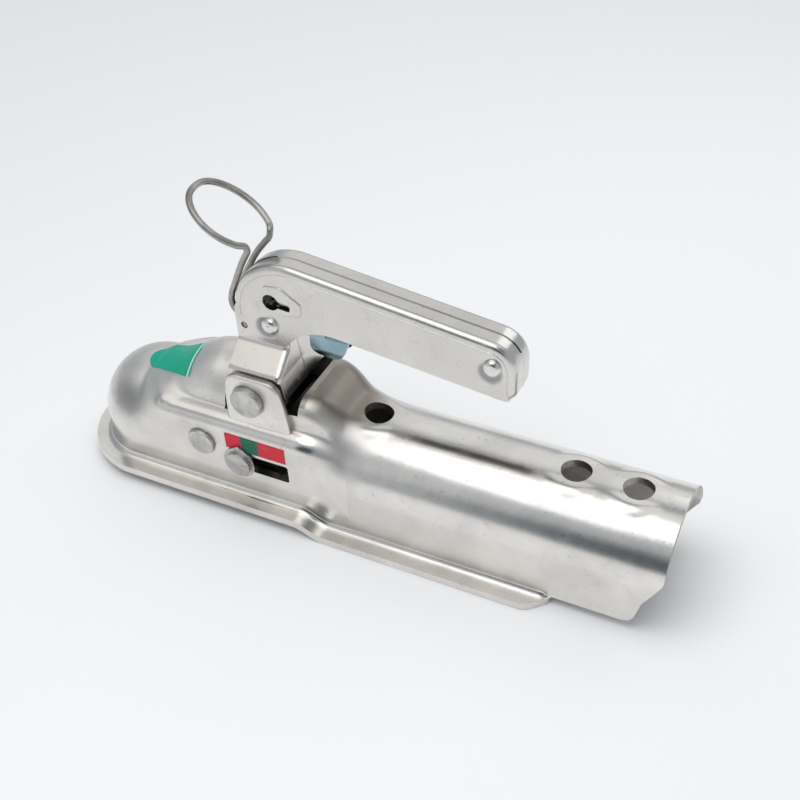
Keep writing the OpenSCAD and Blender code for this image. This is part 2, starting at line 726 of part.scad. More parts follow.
// Rounded arch over the thumb pad, drawn smaller by d
module pad_arch(d) {
    w = catch_half_w - d;
    low_z = pad_low_z - 5;
    r = pad_edge_r - d;
    cross_bar([[-w, low_z, 0], [w, low_z, 0], [w, pad_top_z - d, r], [-w, pad_top_z - d, r]], pad_x0 - d, pad_x1 + d);
}

// Spring wound round the front sleeve, along Y
module catch_spring() color(dark_steel) {
    wire = 1.1;
    coil_half = 2.4;
    r = sleeve_d / 2 + 0.3 + wire / 2;
    turns = 3;
    per_turn = 16;
    swept([for (i = [0:turns * per_turn])
        let (a = 360 * i / per_turn)
        [front_rivet_x + r * sin(a), coil_half * (2 * i / (turns * per_turn) - 1),
            front_rivet_z + r * cos(a)]], wire, 6);
}

// Half of the eye's outline in its own plane: h along the eye, w across it
function eye_point(i) =
    let (a = 180 * i / (eye_steps / 2), h = eye_len / 2 * (1 - cos(a)))
    [h, eye_half_w * pow(max(sin(a), 0), 0.75) + eye_root_y * 0.6 * max(1 - h / 8, 0)];

function eye_place(h, y) = eye_root + [-h * cos(eye_tilt), y, h * sin(eye_tilt)];

function eye_path() = [
    for (i = [2:eye_steps / 2]) let (p = eye_point(i)) eye_place(p.x, -p.y),
    for (i = [eye_steps / 2 - 1:-1:2]) let (p = eye_point(i)) eye_place(p.x, p.y)];

// Points [x, y, z] of a leg, from its end in the lever; x and z are measured from that end
leg_points = [[0, 0.6, 0], [-1.6, 0.1, 0.6], [-4.6, 0, 2.5], [-7, 0, 5.2], [-7.8, 0, 9], [-7, 0, 12.8],
    [-5.8, 0, 15.8], [1.1, 1.2, 29.4], [5, 2.4, 36.8], [7.1, 3, 40.2], [8.4, 4, 42]];

function leg_path(side) = [for (p = leg_points) [loop_x + p.x, side * (leg_y + p.y), loop_z + p.z]];

function flipped(list) = [for (i = [len(list) - 1:-1:0]) list[i]];

module wire_loop() color(dark_steel) {
    swept(concat(leg_path(-1), eye_path(), flipped(leg_path(1))), loop_wire_d, wire_sides);
    for (side = [-1, 1])
        y_rod(loop_x, loop_z, side > 0 ? leg_y - 0.6 : -grip_half_w + 0.4,
            side > 0 ? grip_half_w - 0.4 : -leg_y + 0.6, loop_wire_d);
}

// Label above the slot, in fields of colour
module indicator_label() {
    x0 = slot_x0 - 5.4;
    z0 = slot_pin_z + slot_r + 1.8;
    height = 8.5;
    fields = [[0, 8.5, label_red], [8.5, 17.8, label_green], [17.8, 31.8, label_red]];
    for (f = fields)
        color(f[2])
            translate([x0 + f[0], -dome_r - label_t, z0])
                cube([f[1] - f[0], label_t, height]);
}

// Round-ended label that lies on the front of the neck
module nose_label() color(label_green)
    difference() {
        intersection() {
            neck_form(-label_t);
            translate([20, 0, 25])
                rotate([0, -28, 0])
                    translate([-9, -15, 0])
                        cube([18, 22, 40]);
        }
        neck_form(0);
    }

housing();
main_pin();
main_pin_washer();
guide_rivet();
guide_sleeve();
ball_jaw();
jaw_yoke();
slot_pin();
slot_washer_near();
slot_washer_far();
jaw_spring();
spring_bracket();
lever_near_half();
lever_far_half();
lever_cam();
lever_front_rivet();
lever_front_sleeve();
lever_rear_rivet();
lever_rear_sleeve();
safety_catch();
catch_spring();
wire_loop();
indicator_label();
nose_label();
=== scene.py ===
# %% [markdown]
# Trailer coupling head: looks and studio
#
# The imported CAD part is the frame. This script gives each of its pieces a material, and rebuilds the
# pressed pieces (shell, lever, catch, wire, rivets, labels) with the soft bends that a press leaves.
# All sizes are in millimetres, and `MM` turns them into metres.

# %%
import math
import bmesh
import bpy
import numpy as np
from mathutils import Matrix, Vector
from mathutils.bvhtree import BVHTree


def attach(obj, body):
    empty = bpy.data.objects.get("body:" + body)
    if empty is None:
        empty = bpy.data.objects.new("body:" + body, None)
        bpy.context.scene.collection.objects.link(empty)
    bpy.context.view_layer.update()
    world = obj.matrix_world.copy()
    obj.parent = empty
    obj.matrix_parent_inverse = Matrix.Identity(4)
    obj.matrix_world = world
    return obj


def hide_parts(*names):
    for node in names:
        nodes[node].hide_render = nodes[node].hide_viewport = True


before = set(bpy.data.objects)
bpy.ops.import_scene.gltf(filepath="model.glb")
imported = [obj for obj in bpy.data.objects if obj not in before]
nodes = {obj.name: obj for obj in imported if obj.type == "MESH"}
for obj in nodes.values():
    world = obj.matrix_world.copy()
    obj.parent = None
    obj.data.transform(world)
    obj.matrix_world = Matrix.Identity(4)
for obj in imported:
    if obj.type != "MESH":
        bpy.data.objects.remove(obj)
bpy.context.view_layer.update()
MM = 0.001
print("loaded", len(nodes), "nodes")

# %% [markdown]
# ## Camera, light and floor
#
# The camera was fitted to the photograph: its place, its turn, its roll and its lens.
# The light is a pale room with soft cards, some brighter and some darker, so that the zinc has something
# to mirror. One large lamp, which the metal doesn't show, lights the floor.

# %%
CAMERA_PLACE = (342.94, -382.0, 414.8)
CAMERA_TURN, CAMERA_HEIGHT, CAMERA_ROLL = 28.786, 40.437, -3.926
CAMERA_LENS = 58.24
FLOOR_Z = -23.4
LAMPS = [  # name, place, size, watts, seen in the metal
    ("lamp_key", (105, -175, 385), 310, 0.24, True),
    ("lamp_rear", (330, 420, 420), 300, 0.22, True),
    ("lamp_fill", (100, -100, 1500), 1500, 8.5, False),
]
ROOM_GLOW = 0.52
BACKDROP = (0.56, 0.575, 0.585)  # what the camera sees above the floor's far edge
CARDS = [  # azimuth from -Y towards +X, elevation, inner and outer radius in degrees, brightness
    (0, 90, 14, 46, 0.86),
    (-45, 24, 10, 34, 0.70),
    (4, 12, 12, 27, 0.08),
    (-92, 22, 12, 36, 0.42),
    (-48, 33, 5, 16, 0.45),
    (-142, 64, 5, 16, 0.28),
    (-156, 38, 12, 32, 0.84),
    (-56, 55, 9, 21, 1.0),
    (42, 48, 6, 20, 0.12),
]


def place_camera():
    a, e, r = (math.radians(v) for v in (CAMERA_TURN, CAMERA_HEIGHT, CAMERA_ROLL))
    back = Vector((math.sin(a) * math.cos(e), -math.cos(a) * math.cos(e), math.sin(e)))
    flat = Vector((math.cos(a), math.sin(a), 0))
    rise = back.cross(flat)
    right = math.cos(r) * flat + math.sin(r) * rise
    up = math.cos(r) * rise - math.sin(r) * flat
    data = bpy.data.cameras.new("camera")
    data.sensor_width = 36
    data.lens = CAMERA_LENS
    data.clip_start, data.clip_end = 0.01, 20
    camera = bpy.data.objects.new("camera", data)
    camera.matrix_world = Matrix.Translation(Vector(CAMERA_PLACE) * MM) @ Matrix((right, up, back)).transposed().to_4x4()
    bpy.context.scene.collection.objects.link(camera)
    bpy.context.scene.camera = camera


def place_lamps():
    middle = Vector((120, 0, 30)) * MM
    for name, place, size, watts, mirrored_too in LAMPS:
        data = bpy.data.lights.new(name, "AREA")
        data.shape = "DISK"
        data.size = size * MM
        data.energy = watts
        lamp = bpy.data.objects.new(name, data)
        lamp.location = Vector(place) * MM
        lamp.visible_glossy = mirrored_too
        lamp.rotation_euler = (lamp.location - middle).to_track_quat("Z", "Y").to_euler()
        bpy.context.scene.collection.objects.link(lamp)


def room_light():
    """Even glow, with soft round cards that are brighter or darker."""
    world = bpy.data.worlds.new("room")
    world.use_nodes = True
    tree = world.node_tree
    tree.nodes.clear()
    add, link = tree.nodes.new, tree.links.new
    where = add("ShaderNodeTexCoord")
    glow = None
    for azimuth, elevation, inner, outer, value in CARDS:
        a, e = math.radians(azimuth), math.radians(elevation)
        toward, mask, mix = add("ShaderNodeVectorMath"), add("ShaderNodeMapRange"), add("ShaderNodeMix")
        toward.operation = "DOT_PRODUCT"
        toward.inputs[1].default_value = (math.sin(a) * math.cos(e), -math.cos(a) * math.cos(e), math.sin(e))
        mask.interpolation_type = "SMOOTHSTEP"
        mask.inputs["From Min"].default_value = math.cos(math.radians(outer))
        mask.inputs["From Max"].default_value = math.cos(math.radians(inner))
        link(where.outputs["Generated"], toward.inputs[0])
        link(toward.outputs["Value"], mask.inputs["Value"])
        link(mask.outputs["Result"], mix.inputs["Factor"])
        mix.inputs["B"].default_value = value
        if glow is None:
            mix.inputs["A"].default_value = ROOM_GLOW
        else:
            link(glow, mix.inputs["A"])
        glow = mix.outputs["Result"]
    shade, out = add("ShaderNodeBackground"), add("ShaderNodeOutputWorld")
    tone = add("ShaderNodeMix")
    tone.data_type = "RGBA"
    cool, warm = [v for v in tone.inputs if v.type == "RGBA"]
    cool.default_value, warm.default_value = (0.72, 0.86, 1.0, 1), (1.0, 0.985, 0.965, 1)
    link(glow, tone.inputs["Factor"])
    link([v for v in tone.outputs if v.type == "RGBA"][0], shade.inputs["Color"])
    link(glow, shade.inputs["Strength"])
    seen, path, both = add("ShaderNodeBackground"), add("ShaderNodeLightPath"), add("ShaderNodeMixShader")
    seen.inputs["Color"].default_value = (*BACKDROP, 1)
    link(path.outputs["Is Camera Ray"], both.inputs[0])
    link(shade.outputs[0], both.inputs[1])
    link(seen.outputs[0], both.inputs[2])
    link(both.outputs[0], out.inputs[0])
    bpy.context.scene.world = world


def place_floor():
    mesh = bpy.data.meshes.new("floor")
    r, z = 4.0, FLOOR_Z * MM
    mesh.from_pydata([(-r, -r, z), (r, -r, z), (r, r, z), (-r, r, z)], [], [(0, 1, 2, 3)])
    floor = bpy.data.objects.new("floor", mesh)
    bpy.context.scene.collection.objects.link(floor)
    material = bpy.data.materials.new("floor")
    material.use_nodes = True
    shader = material.node_tree.nodes["Principled BSDF"]
    shader.inputs["Base Color"].default_value = (0.93, 0.93, 0.935, 1)
    shader.inputs["Roughness"].default_value = 0.75
    mesh.materials.append(material)


place_camera()
place_lamps()
room_light()
place_floor()
bpy.context.scene.view_settings.view_transform = "Standard"
print("camera, lamps, room and floor are in place")

# %% [markdown]
# ## Materials
#
# One node group, `plate_wear`, makes the masks that every plated piece shares: cloudy patches, fine
# grain, small dark specks, and a bumped normal. Each material mixes its own colours with them.

# %%
def socket(group, name, direction, kind, default=None):
    s = group.interface.new_socket(name=name, in_out=direction, socket_type=kind)
    if default is not None:
        s.default_value = default
    return s


def plate_wear():
    g = bpy.data.node_groups.new("plate_wear", "ShaderNodeTree")
    socket(g, "Scale", "INPUT", "NodeSocketFloat", 1.0)
    socket(g, "Bump", "INPUT", "NodeSocketFloat", 0.1)
    for name, kind in (("Cloud", "NodeSocketFloat"), ("Grain", "NodeSocketFloat"), ("Specks", "NodeSocketFloat"),
                       ("Stains", "NodeSocketFloat"), ("Normal", "NodeSocketVector")):
        socket(g, name, "OUTPUT", kind)
    add, link = g.nodes.new, g.links.new
    start, end = add("NodeGroupInput"), add("NodeGroupOutput")
    where, scaled = add("ShaderNodeTexCoord"), add("ShaderNodeVectorMath")
    scaled.operation = "SCALE"
    link(where.outputs["Object"], scaled.inputs[0])
    link(start.outputs["Scale"], scaled.inputs["Scale"])

    def noise(scale, detail, rough, low, high, distortion=0.0):
        n, r = add("ShaderNodeTexNoise"), add("ShaderNodeMapRange")
        n.inputs["Scale"].default_value = scale
        n.inputs["Detail"].default_value = detail
        n.inputs["Roughness"].default_value = rough
        n.inputs["Distortion"].default_value = distortion
        r.inputs["From Min"].default_value, r.inputs["From Max"].default_value = low, high
        link(scaled.outputs[0], n.inputs["Vector"])
        link(n.outputs["Fac"], r.inputs["Value"])
        return r.outputs["Result"]

    cloud = noise(38, 3, 0.55, 0.35, 0.65, 0.6)
    grain = noise(1500, 4, 0.7, 0.3, 0.7)
    specks = noise(620, 2, 0.5, 0.66, 0.74)
    stains = noise(95, 6, 0.7, 0.55, 0.75, 0.3)
    lumps = noise(170, 3, 0.5, 0.2, 0.8)
    bump_fine, bump_soft = add("ShaderNodeBump"), add("ShaderNodeBump")
    link(start.outputs["Bump"], bump_fine.inputs["Strength"])
    link(start.outputs["Bump"], bump_soft.inputs["Strength"])
    bump_fine.inputs["Distance"].default_value = 0.00012
    bump_soft.inputs["Distance"].default_value = 0.0005
    link(lumps, bump_soft.inputs["Height"])
    link(grain, bump_fine.inputs["Height"])
    link(bump_soft.outputs["Normal"], bump_fine.inputs["Normal"])
    for name, value in (("Cloud", cloud), ("Grain", grain), ("Specks", specks), ("Stains", stains),
                        ("Normal", bump_fine.outputs["Normal"])):
        link(value, end.inputs[name])
    return g


WEAR = plate_wear()


def metal(name, light, dark, stain, rough=(0.22, 0.38), stain_share=0.35, speck_share=0.5, scale=1.0, bump=0.12,
          metallic=1.0, coat=0.0, stain_and_shade_spots=(), polish=None):
    """Plated metal: light and dark patches, stains in a third colour, and uneven gloss.
    Soft round marks come as (centre, inner and outer radius, colour, share); some are real stains, the others painted
    shade and painted reflections.
    polish names a mesh attribute that is 1 where the press tool has rubbed the sheet smooth."""
    m = bpy.data.materials.new(name)
    m.use_nodes = True
    tree = m.node_tree
    add, link = tree.nodes.new, tree.links.new
    shader = tree.nodes["Principled BSDF"]
    wear = add("ShaderNodeGroup")
    wear.node_tree = WEAR
    wear.inputs["Scale"].default_value = scale
    wear.inputs["Bump"].default_value = bump

    def blend(a, b, factor, share=1.0):
        mix, gain = add("ShaderNodeMix"), add("ShaderNodeMath")
        mix.data_type = "RGBA"
        gain.operation = "MULTIPLY"
        gain.inputs[1].default_value = share
        link(factor, gain.inputs[0])
        link(gain.outputs[0], mix.inputs["Factor"])
        for value, place in ((a, "A"), (b, "B")):
            target = [s for s in mix.inputs if s.name == place and s.type == "RGBA"][0]
            if isinstance(value, tuple):
                target.default_value = (*value, 1)
            else:
                link(value, target)
        return [s for s in mix.outputs if s.type == "RGBA"][0]

    colour = blend(light, dark, wear.outputs["Cloud"])
    colour = blend(colour, stain, wear.outputs["Stains"], stain_share)
    colour = blend(colour, tuple(0.35 * v for v in dark), wear.outputs["Specks"], speck_share)
    # Soft round marks: real stains, painted shade and painted reflections.
    for centre, r_in, r_out, tone, share in stain_and_shade_spots:
        where, away, fade = add("ShaderNodeTexCoord"), add("ShaderNodeVectorMath"), add("ShaderNodeMapRange")
        away.operation = "DISTANCE"
        away.inputs[1].default_value = tuple(v * MM for v in centre)
        fade.interpolation_type = "SMOOTHSTEP"
        fade.inputs["From Min"].default_value, fade.inputs["From Max"].default_value = r_out * MM, r_in * MM
        link(where.outputs["Object"], away.inputs[0])
        link(away.outputs["Value"], fade.inputs["Value"])
        colour = blend(colour, tone, fade.outputs["Result"], share)
    link(colour, shader.inputs["Base Color"])
    gloss = add("ShaderNodeMapRange")
    gloss.inputs["To Min"].default_value, gloss.inputs["To Max"].default_value = rough
    both = add("ShaderNodeMath")
    both.operation = "MULTIPLY_ADD"
    both.inputs[1].default_value = 0.4
    link(wear.outputs["Grain"], both.inputs[0])
    link(wear.outputs["Stains"], both.inputs[2])
    link(both.outputs[0], gloss.inputs["Value"])
    if polish is None:
        link(gloss.outputs["Result"], shader.inputs["Roughness"])
    else:
        mark, worn, less = add("ShaderNodeAttribute"), add("ShaderNodeMath"), add("ShaderNodeMapRange")
        mark.attribute_name = polish
        less.inputs["To Min"].default_value, less.inputs["To Max"].default_value = 1.0, 0.35
        worn.operation = "MULTIPLY"
        link(mark.outputs["Fac"], less.inputs["Value"])
        link(gloss.outputs["Result"], worn.inputs[0])
        link(less.outputs["Result"], worn.inputs[1])
        link(worn.outputs[0], shader.inputs["Roughness"])
    shader.inputs["Metallic"].default_value = metallic
    shader.inputs["Coat Weight"].default_value = coat
    link(wear.outputs["Normal"], shader.inputs["Normal"])
    return m


# Shell spots: a brown grease stain on the hump at (104, 0, 40); painted shade rings round the heads of the guide rivet
# and the main pin; a painted dark reflection on the near side of the nose dome.
ZINC_SHELL = metal("zinc_shell", (0.83, 0.80, 0.76), (0.715, 0.69, 0.66), (0.57, 0.53, 0.48), (0.38, 0.53), 0.3, 0.35, 1.0, 0.045,
                   stain_and_shade_spots=[((104, 0, 40), 12, 24, (0.27, 0.23, 0.195), 0.9), ((41.9, -29, 11.3), 6.8, 8.0, (0.2, 0.18, 0.16), 0.8),
                          ((69.3, -25, 41.8), 7.7, 9.0, (0.2, 0.18, 0.16), 0.75), ((-4, -27, 20), 3, 17, (0.22, 0.225, 0.235), 0.75)],
                   polish="polish")
CUT_EDGE = metal("cut_edge", (0.50, 0.46, 0.42), (0.34, 0.31, 0.28), (0.24, 0.21, 0.19), (0.3, 0.5), 0.6, 0.6, 2.0, 0.3)
# Lever spots: painted shade in the two dents beside the lever's rivets.
ZINC_LEVER = metal("zinc_lever", (0.73, 0.705, 0.67), (0.65, 0.63, 0.60), (0.54, 0.51, 0.48), (0.20, 0.36), 0.25, 0.3, 1.0, 0.06,
                   stain_and_shade_spots=[((73.2, -8.2, 71.6), 4.2, 6.6, (0.22, 0.23, 0.24), 0.8), ((180, -8.2, 79.6), 4.2, 6.4, (0.22, 0.23, 0.24), 0.8)])
ZINC_FASTENER = metal("zinc_fastener", (0.66, 0.65, 0.63), (0.42, 0.41, 0.395), (0.28, 0.25, 0.22), (0.20, 0.42), 0.7, 0.7,
                      2.2, 0.45)
ZINC_BUTTON = metal("zinc_button", (0.80, 0.79, 0.77), (0.66, 0.65, 0.63), (0.5, 0.47, 0.44), (0.10, 0.22), 0.4, 0.4, 1.5, 0.12)
# Dark steel for the jaw and the other inner CAD pieces; the lever's hollow also gets it, as painted shade.
DARK_STEEL_AND_SHADE = metal("dark_steel", (0.16, 0.155, 0.15), (0.09, 0.085, 0.08), (0.20, 0.12, 0.07), (0.35, 0.6), 0.4, 0.6)
BLUE_ZINC = metal("blue_zinc", (0.38, 0.52, 0.57), (0.25, 0.37, 0.42), (0.46, 0.55, 0.57), (0.14, 0.28), 0.35, 0.3)
WIRE_STEEL = metal("wire_steel", (0.47, 0.455, 0.43), (0.30, 0.285, 0.265), (0.56, 0.54, 0.51), (0.26, 0.46), 0.5, 0.5, 2.0, 0.2)

CAD_FINISH = {
    "main_pin_washer": ZINC_FASTENER, "guide_sleeve": DARK_STEEL_AND_SHADE, "ball_jaw": DARK_STEEL_AND_SHADE, "jaw_yoke": DARK_STEEL_AND_SHADE,
    "slot_washer_far": ZINC_FASTENER, "jaw_spring": WIRE_STEEL, "spring_bracket": DARK_STEEL_AND_SHADE, "lever_cam": DARK_STEEL_AND_SHADE,
    "lever_front_sleeve": DARK_STEEL_AND_SHADE, "lever_rear_sleeve": DARK_STEEL_AND_SHADE, "catch_spring": WIRE_STEEL,
}
for name, material in CAD_FINISH.items():
    nodes[name].data.materials.clear()
    nodes[name].data.materials.append(material)
print("materials:", len(bpy.data.materials))

# %% [markdown]
# ## Small mesh tools
#
# Outlines with rounded corners, plates cut from them, turned pieces, wires, and clean cutting of one
# closed mesh by another.

# %%
def arc_corner(a, p, b, r, n):
    """Points of the arc of radius r that rounds the corner at p, between its neighbours a and b."""
    a, p, b = (np.array(v, float) for v in (a, p, b))
    if r <= 0:
        return [p]
    u, v = (a - p) / np.linalg.norm(a - p), (b - p) / np.linalg.norm(b - p)
    half = math.acos(float(np.clip(u @ v, -1, 1))) / 2
    centre = p + (u + v) / np.linalg.norm(u + v) * r / math.sin(half)
    s, e = p + u * r / math.tan(half), p + v * r / math.tan(half)
    a0, a1 = math.atan2(*(s - centre)[::-1]), math.atan2(*(e - centre)[::-1])
    turn = (a1 - a0 + 3 * math.pi) % (2 * math.pi) - math.pi
    return [centre + r * np.array([math.cos(a0 + turn * i / n), math.sin(a0 + turn * i / n)]) for i in range(n + 1)]


def rounded(points, n=10):
    """Outline from points (u, v, radius)."""
    flat = [p[:2] for p in points]
    k = len(points)
    out = []
    for i, p in enumerate(points):
        out += arc_corner(flat[i - 1], flat[i], flat[(i + 1) % k], p[2], n)
    return out


def new_object(name, mesh):
    o = bpy.data.objects.new(name, mesh)
    bpy.context.scene.collection.objects.link(o)
    return o


def mesh_from(name, points, faces):
    """Mesh from points in millimetres, with its normals turned outwards."""
    mesh = bpy.data.meshes.new(name)
    mesh.from_pydata([tuple(float(c) * MM for c in p) for p in points], [], faces)
    bm = bmesh.new()
    bm.from_mesh(mesh)
    bmesh.ops.remove_doubles(bm, verts=bm.verts, dist=1e-7)
    bmesh.ops.recalc_face_normals(bm, faces=bm.faces)
    bm.to_mesh(mesh)
    bm.free()
    return new_object(name, mesh)


def plate(name, outline, y0, y1, bevel=0.0, segments=3, sides=(True, True), chosen=None):
    """Plate with an outline in X and Z from y0 to y1. Its edges on the chosen sides are rounded."""
    k = len(outline)
    points = [(p[0], y0, p[1]) for p in outline] + [(p[0], y1, p[1]) for p in outline]
    faces = [tuple(range(k)), tuple(range(2 * k - 1, k - 1, -1))]
    faces += [(i, (i + 1) % k, k + (i + 1) % k, k + i) for i in range(k)]
    o = mesh_from(name, points, faces)
    if bevel:
        bm = bmesh.new()
        bm.from_mesh(o.data)
        rims = [e for e in bm.edges
                if (sides[0] and all(abs(v.co.y - y0 * MM) < 1e-6 for v in e.verts))
                or (sides[1] and all(abs(v.co.y - y1 * MM) < 1e-6 for v in e.verts))]
        if chosen is not None:
            rims = [e for e in rims if all(chosen(v.co.x / MM, v.co.z / MM) for v in e.verts)]
        bmesh.ops.bevel(bm, geom=rims, offset=bevel * MM, segments=segments, profile=0.5, affect="EDGES",
                        clamp_overlap=True)
        bmesh.ops.recalc_face_normals(bm, faces=bm.faces)
        bm.to_mesh(o.data)
        bm.free()
    return o


def rounded_plate(name, outline, y_face, y_back, r, chosen, steps=9):
    """Plate whose face edge is rounded with radius r where chosen(x, z) holds, and square elsewhere."""
    flat = [np.array(q, float) for q in outline]
    flat = [q for i, q in enumerate(flat) if np.linalg.norm(q - flat[i - 1]) > 1e-4]
    k = len(flat)
    area = sum(a[0] * b[1] - b[0] * a[1] for a, b in zip(flat, flat[1:] + flat[:1]))
    points, faces = [], []
    side = 1 if y_back > y_face else -1
    for step in range(steps + 1):
        a = math.pi / 2 * step / steps
        for i, q in enumerate(flat):
            t = flat[(i + 1) % k] - flat[i - 1]
            inward = np.array([-t[1], t[0]]) / np.linalg.norm(t) * math.copysign(1, area)
            here = r if chosen(*q) else 0
            v = q + inward * here * (1 - math.cos(a))
            points.append((v[0], y_face + side * here * (1 - math.sin(a)), v[1]))
    points += [(q[0], y_back, q[1]) for q in flat]
    last = steps * k
    for step in range(steps):
        for i in range(k):
            j = (i + 1) % k
            faces.append((step * k + i, step * k + j, (step + 1) * k + j, (step + 1) * k + i))
    faces += [(last + k + i, last + k + (i + 1) % k, (i + 1) % k, i) for i in range(k)]
    faces += [tuple(range(last, last + k)), tuple(range(last + 2 * k - 1, last + k - 1, -1))]
    return mesh_from(name, points, faces)


def rod(name, x, z, y0, y1, d, n=48):
    turn = [2 * math.pi * i / n for i in range(n)]
    return plate(name, [(x + d / 2 * math.cos(a), z + d / 2 * math.sin(a)) for a in turn], y0, y1)


def upright(name, x, y, z0, z1, d, n=48):
    """Round bar along Z."""
    turn = [2 * math.pi * i / n for i in range(n)]
    ring = [(x + d / 2 * math.cos(a), y + d / 2 * math.sin(a)) for a in turn]
    points = [(*p, z0) for p in ring] + [(*p, z1) for p in ring]
    faces = [tuple(range(n)), tuple(range(2 * n - 1, n - 1, -1))]
    faces += [(i, (i + 1) % n, n + (i + 1) % n, n + i) for i in range(n)]
    return mesh_from(name, points, faces)


def block(name, low, high):
    (x0, y0, z0), (x1, y1, z1) = low, high
    return plate(name, [(x0, z0), (x1, z0), (x1, z1), (x0, z1)], y0, y1)


def turned(name, x, z, profile, n=64, wobble=0.0, seed=0):
    """Piece turned about an axis along Y. profile is a list of (radius, y), from one end to the other."""
    rng = np.random.default_rng(seed)
    phase = rng.uniform(0, 2 * math.pi, 4)
    points, faces = [], []
    for r, y in profile:
        for i in range(n):
            a = 2 * math.pi * i / n
            rr = r * (1 + wobble * sum(math.sin((k + 2) * a + phase[k]) for k in range(4)) / 4)
            points.append((x + rr * math.cos(a), y, z + rr * math.sin(a)))
    k = len(profile)
    for j in range(k - 1):
        faces += [(j * n + i, j * n + (i + 1) % n, (j + 1) * n + (i + 1) % n, (j + 1) * n + i) for i in range(n)]
    faces += [tuple(range(n)), tuple(range(k * n - 1, (k - 1) * n - 1, -1))]
    return mesh_from(name, points, faces)


def head_profile(r_pin, r_head, y_face, t, side, dome=0.0, lip=0.5, steps=6):
    """Profile of a pin's head from its face out to its middle: a rounded rim and a low dome."""
    out = [(r_head, y_face)]
    for i in range(steps + 1):
        a = math.pi / 2 * i / steps
        out.append((r_head - lip * (1 - math.cos(a)), y_face + side * (t - lip - dome + lip * math.sin(a))))
    for i in range(1, steps + 1):
        r = (r_head - lip) * (1 - i / steps)
        out.append((max(r, 0.02), y_face + side * (t - dome * (r / (r_head - lip)) ** 2)))
    return out


def change(target, tool, operation):
    """Cuts tool out of target, or adds it, and removes tool."""
    mod = target.modifiers.new("change", "BOOLEAN")
    mod.operation = operation
    mod.object = tool
    mod.solver = "MANIFOLD"
    baked(target)
    data = tool.data
    bpy.data.objects.remove(tool)
    bpy.data.meshes.remove(data)


def baked(o):
    """Applies the modifiers of o to its mesh."""
    bpy.context.view_layer.update()
    mesh = bpy.data.meshes.new_from_object(o.evaluated_get(bpy.context.evaluated_depsgraph_get()))
    o.modifiers.clear()
    old = o.data
    o.data = mesh
    bpy.data.meshes.remove(old)


def finished(o, body, material, replaced=(), angle=32, soften=0.0):
    """Smooth shading with crisp edges, then material and body, and hides the CAD pieces it replaces."""
    if soften:
        mod = o.modifiers.new("soften", "BEVEL")
        mod.width = soften * MM
        mod.segments = 2
        mod.limit_method = "ANGLE"
        mod.angle_limit = math.radians(35)
        baked(o)
    bm = bmesh.new()
    bm.from_mesh(o.data)
    bmesh.ops.remove_doubles(bm, verts=bm.verts, dist=2e-7)
    bmesh.ops.dissolve_degenerate(bm, edges=bm.edges, dist=1e-7)
    bm.to_mesh(o.data)
    bm.free()
    o.data.shade_smooth()
    o.data.set_sharp_from_angle(angle=math.radians(angle))
    mod = o.modifiers.new("normals", "WEIGHTED_NORMAL")
    mod.keep_sharp = True
    baked(o)
    if material is not None:
        o.data.materials.clear()
        o.data.materials.append(material)
    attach(o, body)
    if replaced:
        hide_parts(*replaced)
    print(o.name, len(o.data.polygons), "faces")
    return o


# %% [markdown]
# ## The pressed shell
#
# The skin is a grid. Its rows are half cross sections, from the flange's edge up to the crown. They turn
# round the nose first and then run along X. Each section is a mix of three forms: the dome, the box with its
# neck, and the round arch over the drawbar. The inner skin is the same grid drawn smaller by the sheet.

# %%
WALL = 3.8
DOME_R = 29.0
ARCH_Z = 2.3
SHOULDER_Z, SHOULDER_R = 28.0, 8.2
FLANGE_W = 37.5
FILLET = 3.4
PIVOT = (69.3, 41.8)
GUIDE = (41.9, 11.3)
SLOT_PIN = (62.3, 5.6)
SLOT_HEIGHT = 9.8
TAIL_X = 265.3
BOLTS_X = (122.1, 216.2, 243.8)
BOLT_D = 13.5
SEAT_R, SEAT_FADE = 8.5, 6.5
EAR_IN, EAR_OUT = 21.2, 25.0
CROWN = [(0, 26.5), (8, 30.3), (14, 33.6), (20, 37.4), (26, 41.2), (32, 44.4), (38, 46.6), (44, 47.7), (50, 47.5),
         (60, 47.2), (80, 44.6), (92, 43.4), (96, 43.2), (100, 42.2), (104, 40.0), (108, 36.9), (112, 33.8),
         (117, 31.6), (124, 29.5), (130, 28), (270, 28)]
CROWN_R = [(0, 20), (50, 20), (60, 18), (80, 11), (92, 9), (112, 12), (130, 16), (270, 16)]
NECK_HALF = [(0, 20), (50, 20), (80, 21), (92, 21.5), (112, 19), (130, 17), (270, 17)]
PANEL_TOP = 10.0
FLANGE_TOP = [(-60, -14.5), (92, -14.5), (107, -19.5), (300, -19.5)]


def smooth_step(v):
    v = np.clip(v, 0, 1)
    return v * v * (3 - 2 * v)


def along(table, x):
    """Smooth value of a table of (x, value) at x."""
    xs, vs = np.array(table, float).T
    slopes = np.gradient(vs, xs)
    i = int(np.clip(np.searchsorted(xs, x) - 1, 0, len(xs) - 2))
    d = [(vs[k + 1] - vs[k]) / (xs[k + 1] - xs[k]) for k in (max(i - 1, 0), i, min(i + 1, len(xs) - 2))]
    m0 = 0 if d[0] * d[1] <= 0 else 2 * d[0] * d[1] / (d[0] + d[1])
    m1 = 0 if d[1] * d[2] <= 0 else 2 * d[1] * d[2] / (d[1] + d[2])
    h = xs[i + 1] - xs[i]
    t = (x - xs[i]) / h
    return ((2 * t ** 3 - 3 * t ** 2 + 1) * vs[i] + (t ** 3 - 2 * t ** 2 + t) * h * m0
            + (3 * t ** 2 - 2 * t ** 3) * vs[i + 1] + (t ** 3 - t ** 2) * h * m1)


def flange_top(x):
    x0, x1 = 92.0, 107.0
    return -14.5 - 5.0 * float(smooth_step((x - x0) / (x1 - x0)))


def flange_width(x):
    return float(np.interp(x, [205.5, 207.5, 210, 215.9, 217.0], [FLANGE_W, 37.0, 35.2, 29.5, 29.05]))


